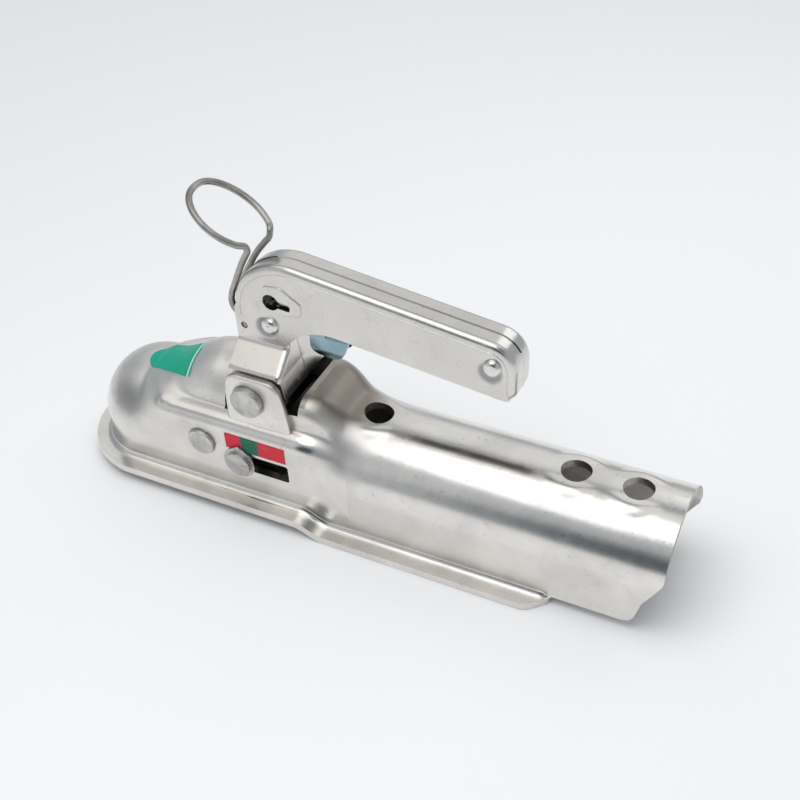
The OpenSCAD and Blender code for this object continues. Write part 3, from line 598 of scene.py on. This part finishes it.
def reach(angle, half, top, r):
    """Distance from the middle to a box of this half-width and top, with corners of radius r, at an angle."""
    c, s = math.cos(angle), math.sin(angle)
    if half * s <= (top - r) * c:
        return half / c
    if top * c <= (half - r) * s:
        return top / s
    u = (half - r) * c + (top - r) * s
    return u + math.sqrt(max(u * u - (half - r) ** 2 - (top - r) ** 2 + r * r, 0))


def soft_max(a, b, k):
    h = max(k - abs(a - b), 0) / k
    return max(a, b) + h * h * k / 4


def section_angles():
    start = math.degrees(math.atan2(PANEL_TOP, DOME_R))
    degrees = np.concatenate([np.linspace(start, 37, 7), np.linspace(37, 62, 44)[1:], np.linspace(62, 90, 22)[1:]])
    return np.radians(degrees)


ANGLES = section_angles()


def upper_section(x, d):
    """Shoulders or round arch, with the neck or hump on top: points (y, z) from the panel up."""
    boxy = float(smooth_step(x / 21))
    corner = DOME_R + (SHOULDER_R - DOME_R) * boxy
    shoulder = DOME_R + (SHOULDER_Z - DOME_R) * boxy
    to_arch = float(smooth_step((x - 92) / 26))
    crown, half = along(CROWN, x), along(NECK_HALF, x)
    crown_r = min(along(CROWN_R, x), half)
    blend = 1.2 + 2.0 * float(smooth_step(x / 24)) + 4.0 * to_arch + 9.0 * float(smooth_step(x / 8) * smooth_step((34 - x) / 16))
    radius = DOME_R - d
    out = []
    for angle in ANGLES:
        base = reach(angle, DOME_R - d, shoulder - d, max(corner - d, 0.5))
        arch = ARCH_Z * math.sin(angle) + math.sqrt(radius ** 2 - (ARCH_Z * math.cos(angle)) ** 2)
        base += (arch - base) * to_arch
        far = soft_max(base, reach(angle, half - d, crown - d, max(crown_r - d, 0.5)), blend)
        out.append((far * math.cos(angle), far * math.sin(angle)))
    return out


def section(x, d):
    """Half cross section at x, from the flange's edge up to the crown: points (y, z)."""
    tail = float(smooth_step((x - 215.9) / 1.6))
    zt = flange_top(x)
    w = flange_width(x)
    f = max(min(FILLET, w - DOME_R - 0.05), 0.05)
    r = f + d
    zc = zt + f
    low_edge = -18.7
    flange = [(y, zt - d) for y in np.linspace(w, DOME_R + f, 5)]
    flange += [(DOME_R + f - r * math.sin(a), zc - r * math.cos(a)) for a in np.linspace(0, math.pi / 2, 9)[1:]]
    flange = np.array(flange)
    if tail > 0:
        straight = np.array([(DOME_R - d, z) for z in np.linspace(low_edge, low_edge + 3.4, len(flange))])
        flange = flange * (1 - tail) + straight * tail
    upper = upper_section(x, d)
    y_end, z_end = upper[0]
    panel = []
    for z in np.linspace(flange[-1][1] + 0.6, z_end, 9)[:-1]:
        y = DOME_R - d
        if z > ARCH_Z:
            y += (y_end - y) * ((z - ARCH_Z) / (z_end - ARCH_Z)) ** 2
        panel.append((y, z))
    return np.vstack([flange, panel, upper])


def seats(p, d):
    """Raises the arch to the flat seats round the bolt holes."""
    x, y, z = p
    flat = ARCH_Z + DOME_R - d
    for bx in BOLTS_X:
        away = math.hypot(x - bx, y)
        share = float(1 - smooth_step((away - SEAT_R) / SEAT_FADE))
        if share > 0 and z < flat:
            z = z + (flat - z) * share
    return (x, y, z)


def skin(d):
    """Rows of points of one skin's near side, from the nose's middle to the tail; shell_blank mirrors them to the far
    side.
    """
    nose = section(0.0, d)
    rows = []
    for a in np.linspace(180, 90, 28)[:-1]:
        c, s = math.cos(math.radians(a)), math.sin(math.radians(a))
        rows.append([(y * c, -y * s, z) for y, z in nose])
    xs = np.concatenate([np.linspace(0, 56, 45), np.linspace(56, 88, 14)[1:], np.linspace(88, 132, 40)[1:],
                         np.linspace(132, 200, 28)[1:], np.linspace(200, TAIL_X, 52)[1:]])
    for x in xs:
        rows.append([seats((x, -y, z), d) for y, z in section(x, d)])
    return rows


def shell_blank():
    points, faces = [], []
    outer, inner = skin(0.0), skin(WALL)
    n, k = len(outer), len(outer[0])
    for side in (1, -1):
        for rows in (outer, inner):
            base = len(points)
            for row in rows:
                points += [(x, side * y, z) for x, y, z in row]
            for i in range(n - 1):
                for j in range(k - 1):
                    faces.append((base + i * k + j, base + (i + 1) * k + j, base + (i + 1) * k + j + 1, base + i * k + j + 1))
        start_in, start_out = len(points) - n * k, len(points) - 2 * n * k
        for i in range(n - 1):
            faces.append((start_out + i * k, start_out + (i + 1) * k, start_in + (i + 1) * k, start_in + i * k))
        last = (n - 1) * k
        for j in range(k - 1):
            faces.append((start_out + last + j, start_out + last + j + 1, start_in + last + j + 1, start_in + last + j))
    return mesh_from("housing_skin", points, faces)


EAR_OUTLINE = [(55.6, 24.5, 0), (89.6, 24.5, 0), (87.4, 41.8, 4), (84.6, 54.2, 7.5), (58.2, 54.4, 7.5), (56.4, 43, 6)]
TAIL_OUTLINE = [(300, -60, 0), (300, 40, 0), (TAIL_X + 0.02, 40, 0), (TAIL_X - 0.4, 9.0, 6), (TAIL_X - 8.5, -4.8, 8),
                (TAIL_X - 12.5, -18.9, 7), (230, -18.9, 0), (230, -60, 0)]


def build_shell():
    shell = shell_blank()
    for side in (1, -1):
        y0, y1 = sorted((side * EAR_IN, side * EAR_OUT))
        ear = plate("ear", rounded(EAR_OUTLINE, 10), y0, y1, bevel=1.7, segments=3)
        change(shell, ear, "UNION")
    cutters = [
        plate("opening", rounded([(52, 20, 0), (92, 20, 0), (92, 44, 5), (96, 70, 0), (49, 70, 0), (52, 46, 6)], 8), -EAR_IN, EAR_IN),
        rod("pivot_hole", *PIVOT, -40, 40, 12.0),
        rod("guide_hole", *GUIDE, -40, 40, 9.0),
        plate("slot_hole", rounded([(56.0, 0.7, 4.6), (88.0, 0.7, 1.4), (88.0, 10.5, 1.4), (56.0, 10.5, 4.6)], 8), -40, 40),
        plate("tail_cut", rounded(TAIL_OUTLINE, 8), -60, 60),
    ]
    cutters += [upright("bolt_hole", x, 0, 5, 60, BOLT_D) for x in BOLTS_X]
    for cutter in cutters:
        change(shell, cutter, "DIFFERENCE")
    shell.name = "housing_skin"
    finished(shell, "shell", ZINC_SHELL, ["housing"], angle=35)
    shell.data.materials.append(CUT_EDGE)
    rubbed = shell.data.attributes.new("polish", "FLOAT", "POINT")
    for i, vertex in enumerate(shell.data.vertices):
        x, y, z = vertex.co / MM
        y = abs(y)
        line = math.hypot(y - 26.8, z - 25.8) + max(17 - x, 0) + max(x - 100, 0)
        fillet = abs(math.hypot(min(x, 0), y) - 29.5) + abs(z - flange_top(x) - 1.2)
        arch = max(x - 118, 0) * 0.1 * np.clip((30.5 - z) / 9, 0.25, 1) if z > 4 else 0
        panel = 1 - max(z - 8, 0) / 8 if x < 118 else 0
        rubbed.data[i].value = max(0, 1.4 - line / 4, 1 - fillet / 3.5, min(arch, 0.8), min(panel, 0.8))
    for face in shell.data.polygons:
        x, y, z = face.center / MM
        n = face.normal
        in_bolt = z > 22 and any(math.hypot(x - b, y) < BOLT_D / 2 + 0.05 for b in BOLTS_X)
        on_ear = 55 < x < 91 and 21 < abs(y) < 25.1 and z > 29.5 and abs(n.y) < 0.3
        on_rim = 51.5 < x < 95 and abs(y) < 21.3 and z > 27 and (abs(n.x) > 0.88 or (x > 91 and abs(y) < 19))
        at_end = x > 250 and abs(n.x) > 0.3 and z < 40 and abs(n.y) < 0.05
        if in_bolt or on_ear or on_rim or at_end:
            face.material_index = 1
    return shell


shell = build_shell()
print("shell with", len(shell.data.materials), "finishes")

# %% [markdown]
# ## The lever
#
# Each half is one stamped sheet: a flat side with a rounded edge that turns in to the seam on top, and
# below it a slope out to a cheek that lies inside the ear. A web closes the cheeks behind. The far half is
# the near half mirrored.

# %%
LEVER_Y, SHEET, EDGE_R, SEAM = 8.2, 2.2, 3.0, 0.05
CHEEK_Y = 20.0
LEVER_FRONT, LEVER_END, LEVER_FOOT = 57.2, 192.0, 61.8
JOGGLE_TOP, JOGGLE_LOW, WEB_LOW = 62.5, 53.7, 41.5
SLOPE = math.tan(math.radians(7.5))
FRONT_RIVET, REAR_RIVET = (75.3, 73.6), (181.1, 82.7)
LOOP_PIVOT = (61.4, 70.2)
KEYHOLE = (77.3, 87.1)


def lever_top(x):
    return 108.0 - (x - 77.0) * SLOPE


END_LOW = lever_top(LEVER_END) - 27
GRIP = [(LEVER_FRONT, LEVER_FOOT, 1), (80.8, LEVER_FOOT, 0.8), (92.3, END_LOW + (LEVER_END - 92.3) * SLOPE - 1, 27),
        (LEVER_END - 0.8, END_LOW, 5.5), (LEVER_END, lever_top(LEVER_END), 13), (LEVER_FRONT, lever_top(LEVER_FRONT), 28)]
ROOF = SHEET / math.cos(math.radians(7.5))
CAVITY = [(LEVER_FRONT - 5, 50, 0), (LEVER_END - SHEET - 0.8, 50, 0),
          (LEVER_END - SHEET, lever_top(LEVER_END) - ROOF + SHEET * SLOPE, 10.8),
          (LEVER_FRONT + SHEET, lever_top(LEVER_FRONT) - ROOF - SHEET * SLOPE, 25.8),
          (LEVER_FRONT + SHEET, 88, 0), (LEVER_FRONT - 5, 88, 0)]
CHEEK = [(57.4, 68, 0), (57.4, 50, 3), (60.5, 31, 9), (77, 30.5, 9), (86.6, 41, 6), (84.2, 53, 6), (82.6, 68, 0)]
PAD = [(71.6, 87.6, 3), (74.4, 95.2, 3.5), (82.6, 96, 4), (92.6, 89.4, 3), (92.0, 82.9, 3), (82.4, 81.0, 8), (73.4, 82.6, 4)]


def has_rim(x, z):
    if x < 66:
        return z > 80
    return z > (67.2 if x > 185 else lever_top(x) - 20)


def across(outline, z):
    """Lowest and highest x of an outline at height z."""
    hits = []
    for (x0, z0), (x1, z1) in zip(outline, outline[1:] + outline[:1]):
        if (z0 - z) * (z1 - z) <= 0 and z0 != z1:
            hits.append(x0 + (x1 - x0) * (z - z0) / (z1 - z0))
    return min(hits), max(hits)


def folded_sheet():
    """Slope, upper cheek and web of the near half, as one sheet with round bends."""
    bends = [p for p in arc_corner((8.14, 66), (8.14, JOGGLE_TOP), (CHEEK_Y, JOGGLE_LOW), 3.0, 6)]
    bends += [p for p in arc_corner((8.14, JOGGLE_TOP), (CHEEK_Y, JOGGLE_LOW), (CHEEK_Y, 40), 3.4, 6)]
    path = [(8.14, 65.6), (8.14, 65.0)] + [tuple(b) for b in bends]
    path += [(CHEEK_Y, z) for z in np.linspace(bends[-1][1], 42.6, 8)[1:]]
    outline = rounded(CHEEK, 8)
    points, faces = [], []
    bend_r, columns = 2.8, 0
    for y, z in path:
        x0, x1 = across(outline, z)
        row = [(x, -y) for x in np.linspace(x0, x1 - bend_r, 10)]
        row += [(x1 - bend_r + bend_r * math.sin(a), -y + bend_r * (1 - math.cos(a))) for a in np.linspace(0, math.pi / 2, 9)[1:]]
        row += [(x1, v) for v in np.linspace(-y + bend_r, -SEAM, 8)[1:]]
        columns = len(row)
        points += [(px, py, z) for px, py in row]
    for i in range(len(path) - 1):
        for j in range(columns - 1):
            faces.append((i * columns + j, i * columns + j + 1, (i + 1) * columns + j + 1, (i + 1) * columns + j))
    o = mesh_from("folded", points, faces)
    middle = o.data.polygons[len(o.data.polygons) // 3]
    if middle.normal.y > 0:
        o.data.flip_normals()
    mod = o.modifiers.new("sheet", "SOLIDIFY")
    mod.thickness = SHEET * MM
    mod.offset = -1
    mod.use_even_offset = True
    baked(o)
    return o


def near_half():
    half = rounded_plate("lever_near_side", rounded(GRIP, 22), -LEVER_Y, -SEAM, EDGE_R, has_rim)
    change(half, plate("hollow", rounded(CAVITY, 22), SHEET - LEVER_Y, 1, 0.9, 3, (True, False)), "DIFFERENCE")
    change(half, folded_sheet(), "UNION")
    lobe = [(57.4, 52, 0), (57.4, 50, 3), (60.5, 31, 9), (77, 30.5, 9), (86.6, 41, 6), (84.4, 52, 0)]
    change(half, plate("lobe", rounded(lobe, 8), 0.03 - CHEEK_Y, SHEET - CHEEK_Y, 0.3, 2, (True, False)), "UNION")
    change(half, plate("pad", rounded(PAD, 8), -LEVER_Y - 0.5, 0.6 - LEVER_Y, 0.45, 3, (True, False)), "UNION")
    groove = rounded([(LEVER_FRONT + 3.6, 76, 0), (LEVER_FRONT + 3.6, lever_top(LEVER_FRONT + 3.6) - 3.9, 24.5),
                      (LEVER_END - 3.9, lever_top(LEVER_END - 3.9) - 3.9, 9.4), (LEVER_END - 4.4, 70, 0)], 22)
    change(half, wire("groove", [(x, -LEVER_Y - 0.12, z) for x, z in groove], 0.85, 6), "DIFFERENCE")
    ridge = [p for p in rounded(GRIP, 22) if has_rim(*p) and (p[1] > 84 or p[0] > 180)]
    change(half, wire("seam", [(x, 0, z + 0.15) for x, z in ridge], 1.3, 8), "DIFFERENCE")
    web = [(across(rounded(CHEEK, 8), z)[1] + 0.25, 0, z) for z in np.linspace(41, 64, 18)]
    change(half, wire("web_seam", web, 1.5, 8), "DIFFERENCE")
    for (x, z), (dx, dz) in ((FRONT_RIVET, (-2.2, -1.8)), (REAR_RIVET, (-1.2, -3.4))):
        change(half, dent(x + dx, z + dz), "DIFFERENCE")
    x, z = KEYHOLE
    change(half, rod("key_round", x, z, -30, 1, 8.0), "DIFFERENCE")
    slot = [(x, z - 1.9, 0), (x + 9.6, z - 2.9, 1.2), (x + 9.6, z + 0.4, 1.2), (x, z + 1.9, 0)]
    change(half, plate("key_slot", rounded(slot, 6), -30, 1), "DIFFERENCE")
    change(half, rod("loop_hole", *LOOP_PIVOT, -30, 1, 3.5, 24), "DIFFERENCE")
    change(half, rod("pin_hole", *PIVOT, -30, 1, 12.1), "DIFFERENCE")
    return half


def wire(name, path, d, sides=12, smooth=False):
    """Closed round wire along a list of points."""
    if smooth:
        path = soft_path(path)
    data = bpy.data.curves.new(name, "CURVE")
    data.dimensions = "3D"
    data.bevel_depth = d / 2 * MM
    data.bevel_resolution = max(sides // 4 - 1, 1)
    data.use_fill_caps = True
    spline = data.splines.new("POLY")
    spline.points.add(len(path) - 1)
    for point, p in zip(spline.points, path):
        point.co = (*(float(c) * MM for c in p), 1)
    o = new_object(name, data)
    bpy.context.view_layer.update()
    mesh = bpy.data.meshes.new_from_object(o.evaluated_get(bpy.context.evaluated_depsgraph_get()))
    bpy.data.objects.remove(o)
    bpy.data.curves.remove(data)
    bm = bmesh.new()
    bm.from_mesh(mesh)
    bmesh.ops.remove_doubles(bm, verts=bm.verts, dist=1e-7)
    bmesh.ops.recalc_face_normals(bm, faces=bm.faces)
    bm.to_mesh(mesh)
    bm.free()
    return new_object(name, mesh)


def soft_path(points, n=6):
    """Smooth curve through the points."""
    p = [np.array(v, float) for v in points]
    p = [2 * p[0] - p[1]] + p + [2 * p[-1] - p[-2]]
    out = []
    for a, b, c, d in zip(p, p[1:], p[2:], p[3:]):
        for i in range(n):
            t = i / n
            out.append(0.5 * (2 * b + (c - a) * t + (2 * a - 5 * b + 4 * c - d) * t ** 2 + (3 * b - a - 3 * c + d) * t ** 3))
    return out + [p[-2]]


def dent(x, z, r=6.2, deep=0.8):
    """Shallow round dent in the lever's near side."""
    ball_r = (r * r + deep * deep) / (2 * deep)
    profile = [(r, -LEVER_Y - 1), (r, -LEVER_Y)]
    for i in range(1, 9):
        sunk = deep * math.sin(math.pi / 2 * i / 8)
        profile.append((math.sqrt(max(ball_r ** 2 - (ball_r - deep + sunk) ** 2, 0.001)), -LEVER_Y + sunk))
    return turned("dent", x, z, profile, 40)


def mirrored(o, name):
    mesh = o.data.copy()
    mesh.transform(Matrix.Diagonal((1, -1, 1, 1)))
    mesh.flip_normals()
    return new_object(name, mesh)


def paint_hollow_shade(o):
    """Painted shade: the inner faces of the lever's hollow get the dark material, to stand for the shade inside it."""
    o.data.materials.append(DARK_STEEL_AND_SHADE)
    for face in o.data.polygons:
        x, y, z = face.center / MM
        n = face.normal
        inward = n.x * (np.clip(x, 85, 178) - x) + n.z * (lever_top(x) - 14 - z)
        if abs(y) < LEVER_Y - SHEET + 0.05 and 59 < x < LEVER_END - 2 and 66 < z < lever_top(x) - 1.9 and (abs(n.y) > 0.7 or inward > 0):
            face.material_index = 1


near = near_half()
far = mirrored(near, "lever_far_side")
finished(near, "lever", ZINC_LEVER, ["lever_near_half"], 30)
finished(far, "lever", ZINC_LEVER, ["lever_far_half"], 30)
paint_hollow_shade(near)
paint_hollow_shade(far)

# %% [markdown]
# ## Pins, rivets and the pointer washer
#
# Each is a turned piece with a slightly uneven, hammered head.

# %%
def pin(name, node, body, x, z, profile, wobble, seed, material=ZINC_FASTENER):
    return finished(turned(name, x, z, profile, 72, wobble, seed), body, material, [node], 40)


def two_heads(y_face, r_head, r_pin, t, lip):
    """Profile of a pin with a flat head on both sides."""
    near_side = [(r, y) for r, y in head_profile(r_pin, r_head, -y_face, t, -1, 0.25, lip)][::-1]
    far_side = [(r, y) for r, y in head_profile(r_pin, r_head, y_face, t, 1, 0.25, lip)]
    return near_side + [(r_pin, -y_face), (r_pin, y_face)] + far_side


main = head_profile(6, 7.7, -25.0, 3.7, -1, 0.25, 0.6)[::-1] + [(6, -25.0), (6, 25.0), (6, 26.7), (5.5, 27.15), (0.02, 27.2)]
pin("main_pin_peened", "main_pin", "shell", *PIVOT, main, 0.006, 1)
pin("guide_rivet_peened", "guide_rivet", "shell", *GUIDE, two_heads(29.0, 6.75, 4.5, 2.2, 0.7), 0.02, 2)
pin("slot_pin_peened", "slot_pin", "jaw", *SLOT_PIN, two_heads(30.6, 6.5, 4.5, 2.2, 0.6), 0.02, 3)
button = [(0.02, -LEVER_Y - 1.95), (0.9, -LEVER_Y - 2.0), (1.7, -LEVER_Y - 2.2)]
button += [(1.6 + 2.7 * math.sin(a), -LEVER_Y - 2.3 * math.cos(a)) for a in np.linspace(0.25, math.pi / 2, 11)]
button += [(3.0, -LEVER_Y), (3.0, LEVER_Y)] + [(r, -y) for r, y in button[::-1]]
pin("lever_front_button", "lever_front_rivet", "lever", *FRONT_RIVET, button, 0.01, 4, ZINC_BUTTON)
pin("lever_rear_button", "lever_rear_rivet", "lever", *REAR_RIVET, button, 0.01, 5, ZINC_BUTTON)

x, z = SLOT_PIN
r = 8.25
turn = np.linspace(math.radians(58.7), math.radians(58.7 - 297.4), 60)
drop = [(x + r * math.cos(a), z + r * math.sin(a)) for a in turn] + [(x - 0.3, z + 9.75), (x + 0.3, z + 9.75)]
washer = plate("slot_pointer", drop, -30.6, -29.4, 0.3, 2)
finished(washer, "jaw", ZINC_FASTENER, ["slot_washer_near"], 40)

# %% [markdown]
# ## Safety catch and wire loop
#
# The catch is a folded strip with a rounded thumb pad. The loop is one bent wire whose ends sit in the
# lever's two small holes.

# %%
CATCH_Y, CATCH_T = 5.7, 1.8
PAD_X, PAD_TOP, PAD_LOW = (93.3, 112.6), 75.6, 60.0
CATCH_EAR = [(-8, 4, 4), (-12, -14.5, 2), (-13, -16, 1), (-10, -17.5, 2), (3, -6.4, 6), (11, -3.6, 4), (18, -1.9, 3),
             (26, -1.9, 1), (26, 2, 2), (12, 3, 3), (7, 8, 5)]


def arch_bar(name, d, x0, x1):
    """Half tube along X, with legs that lean in towards their ends."""
    w, top, low = CATCH_Y - d, PAD_TOP - d, PAD_LOW - 4
    r = CATCH_Y - 0.6 - d
    lean = 2.2
    ring = rounded([(lean - w, low, 0), (w - lean, low, 0), (w, PAD_LOW + 5, 9), (w, top, r), (-w, top, r), (-w, PAD_LOW + 5, 9)], 14)
    k = len(ring)
    points = [(x0, y, z) for y, z in ring] + [(x1, y, z) for y, z in ring]
    faces = [tuple(range(k)), tuple(range(2 * k - 1, k - 1, -1))]
    faces += [(i, (i + 1) % k, k + (i + 1) % k, k + i) for i in range(k)]
    return mesh_from(name, points, faces)


catch = arch_bar("catch_folded", 0.0, *PAD_X)
side = [(PAD_X[0], PAD_LOW + 2.5, 5), (PAD_X[1] - 4.5, PAD_LOW, 8), (PAD_X[1], PAD_TOP - 3, 4), (PAD_X[1], PAD_TOP + 1, 0),
        (PAD_X[0], PAD_TOP + 1, 0)]
change(catch, plate("side", rounded(side, 10), -20, 20), "INTERSECT")
for sign in (1, -1):
    y0, y1 = sorted((sign * CATCH_Y * 0.998, sign * (CATCH_Y - CATCH_T)))
    ear = rounded([(FRONT_RIVET[0] + a, FRONT_RIVET[1] + b, r) for a, b, r in CATCH_EAR], 8)
    change(catch, plate("ear", ear, y0, y1), "UNION")
change(catch, arch_bar("inside", CATCH_T, PAD_X[0] - 2, PAD_X[1] + 2), "DIFFERENCE")
change(catch, rod("sleeve_hole", *FRONT_RIVET, -20, 20, 10.1), "DIFFERENCE")
finished(catch, "catch", BLUE_ZINC, ["safety_catch"], 35, 0.25)

LEG = [(0, 0.6, 0), (-1.6, 0.1, 0.6), (-4.6, 0, 2.5), (-7, 0, 5.2), (-7.8, 0, 9), (-7, 0, 12.8), (-5.8, 0, 15.8),
       (1.1, 1.0, 29.4), (5.6, 1.8, 36.4), (7.9, 2.4, 39.8)]
LEG_Y, EYE_LENGTH, EYE_HALF, EYE_SKEW = 4.1, 36.0, 13.7, 0.24
EYE_ROOT, EYE_TILT = (70.8, 0.0, 112.1), math.radians(34)


def leg(side_y):
    return [(LOOP_PIVOT[0] + a + side_y * EYE_SKEW * (LEG_Y + b) * max(c - 20, 0) / 20, side_y * (LEG_Y + b), LOOP_PIVOT[1] + c)
            for a, b, c in LEG]


def eye(i, side_y, steps=14):
    a = math.pi * i / steps
    h = EYE_LENGTH / 2 * (1 - math.cos(a))
    y = side_y * (EYE_HALF * max(math.sin(a), 0) ** 0.85 + 1.2 * max(1 - h / 8, 0))
    return (EYE_ROOT[0] - h * math.cos(EYE_TILT) + EYE_SKEW * y * (1 - h / EYE_LENGTH), y, EYE_ROOT[2] + h * math.sin(EYE_TILT))


ends = [(LOOP_PIVOT[0], -LEVER_Y + 0.5, LOOP_PIVOT[1])], [(LOOP_PIVOT[0], LEVER_Y - 0.5, LOOP_PIVOT[1])]
route = ends[0] + leg(-1) + [eye(i, -1) for i in range(2, 15)] + [eye(i, 1) for i in range(13, 1, -1)] + leg(1)[::-1] + ends[1]
loop = wire("loop_wire", route, 3.0, 20, True)
finished(loop, "loop", WIRE_STEEL, ["wire_loop"], 60)

# %% [markdown]
# ## Labels
#
# Both are thin foils. The one over the slot has three plain fields. The one on the nose is a plain green
# foil with a pale line, laid on the shell by casting rays onto it.

# %%
def foil(name, base, lines):
    """Glossy printed foil. lines is a list of (axis, low, high, colour) in millimetres."""
    m = bpy.data.materials.new(name)
    m.use_nodes = True
    tree = m.node_tree
    add, link = tree.nodes.new, tree.links.new
    shader = tree.nodes["Principled BSDF"]
    where, split = add("ShaderNodeTexCoord"), add("ShaderNodeSeparateXYZ")
    link(where.outputs["Object"], split.inputs[0])
    colour = None
    for axis, low, high, value in lines:
        inside = []
        for edge, sign in ((low, 1), (high, -1)):
            step = add("ShaderNodeMapRange")
            step.inputs["From Min"].default_value = (edge - sign * 0.1) * MM
            step.inputs["From Max"].default_value = (edge + sign * 0.1) * MM
            link(split.outputs[axis], step.inputs["Value"])
            inside.append(step.outputs["Result"])
        both, mix = add("ShaderNodeMath"), add("ShaderNodeMix")
        both.operation = "MULTIPLY"
        link(inside[0], both.inputs[0])
        link(inside[1], both.inputs[1])
        mix.data_type = "RGBA"
        link(both.outputs[0], mix.inputs["Factor"])
        a, b = [v for v in mix.inputs if v.type == "RGBA"]
        if colour is None:
            a.default_value = (*base, 1)
        else:
            link(colour, a)
        b.default_value = (*value, 1)
        colour = [v for v in mix.outputs if v.type == "RGBA"][0]
    wear = add("ShaderNodeGroup")
    wear.node_tree = WEAR
    wear.inputs["Scale"].default_value = 1.5
    wear.inputs["Bump"].default_value = 0.08
    worn = add("ShaderNodeMix")
    worn.data_type = "RGBA"
    share = add("ShaderNodeMath")
    share.operation = "MULTIPLY"
    share.inputs[1].default_value = 0.1
    link(wear.outputs["Stains"], share.inputs[0])
    link(share.outputs[0], worn.inputs["Factor"])
    a, b = [v for v in worn.inputs if v.type == "RGBA"]
    link(colour, a)
    b.default_value = (0.75, 0.76, 0.74, 1)
    link([v for v in worn.outputs if v.type == "RGBA"][0], shader.inputs["Base Color"])
    link(wear.outputs["Normal"], shader.inputs["Normal"])
    shader.inputs["Roughness"].default_value = 0.45
    shader.inputs["Specular IOR Level"].default_value = 0.3
    return m


RED, GREEN, TEAL = (0.72, 0.025, 0.045), (0.015, 0.15, 0.09), (0.006, 0.35, 0.23)
strip = block("label_fields", (55.5, -29.24, 12.3), (87.3, -29.0, 20.8))
finished(strip, "shell", foil("indicator_label", RED, [("X", 64.0, 73.3, GREEN)]), ["indicator_label"], 30)


def laid_label():
    """Grid of rays onto the neck, lifted a little, and closed to a thin foil."""
    tree = BVHTree.FromObject(shell, bpy.context.evaluated_depsgraph_get())
    tilt, turn = math.radians(25), math.radians(-13)
    rise = Vector((math.cos(tilt), 0, math.sin(tilt)))
    up = Vector((-math.sin(tilt), 0, math.cos(tilt)))
    u = rise * math.cos(turn) + Vector((0, math.sin(turn), 0))
    v = Vector((0, math.cos(turn), 0)) - rise * math.sin(turn)
    middle = Vector((19.4, -3.4, 25)) * MM
    half_u, half_v, corner, round_end = 17.5, 8.8, 1.0, 8.6
    n = 34
    top, low = [], []
    for i in range(n + 1):
        for j in range(n + 1):
            a, b = (2 * i / n - 1), (2 * j / n - 1)
            pu, pv = a * half_u, b * half_v
            r = round_end if pu < 0 else corner
            over_u, over_v = abs(pu) - (half_u - r), abs(pv) - (half_v - r)
            if over_u > 0 and over_v > 0:
                reach = max(over_u, over_v) / math.hypot(over_u, over_v)
                pu = math.copysign(half_u - r + over_u * reach, pu)
                pv = math.copysign(half_v - r + over_v * reach, pv)
            start = middle + u * pu * MM + v * pv * MM + up * 0.06
            hit, normal, _, _ = tree.ray_cast(start, -up)
            top.append((hit + normal * 0.00022) / MM)
            low.append((hit - normal * 0.00005) / MM)
    m = n + 1
    points = top + low
    faces = []
    for i in range(n):
        for j in range(n):
            q = (i * m + j, (i + 1) * m + j, (i + 1) * m + j + 1, i * m + j + 1)
            faces += [q, tuple(v + m * m for v in q[::-1])]
    rim = [i * m for i in range(m)] + [n * m + j for j in range(1, m)] + [i * m + n for i in range(n - 1, -1, -1)]
    rim += [j for j in range(n - 1, 0, -1)]
    faces += [(rim[i], rim[(i + 1) % len(rim)], rim[(i + 1) % len(rim)] + m * m, rim[i] + m * m) for i in range(len(rim))]
    return mesh_from("label_nose", points, faces)


finished(laid_label(), "shell", foil("nose_label", TEAL, [("X", 28.6, 29.6, (0.6, 0.72, 0.68)), ("X", 30.6, 31.4, (0.6, 0.72, 0.68))]),
         ["nose_label"], 60)
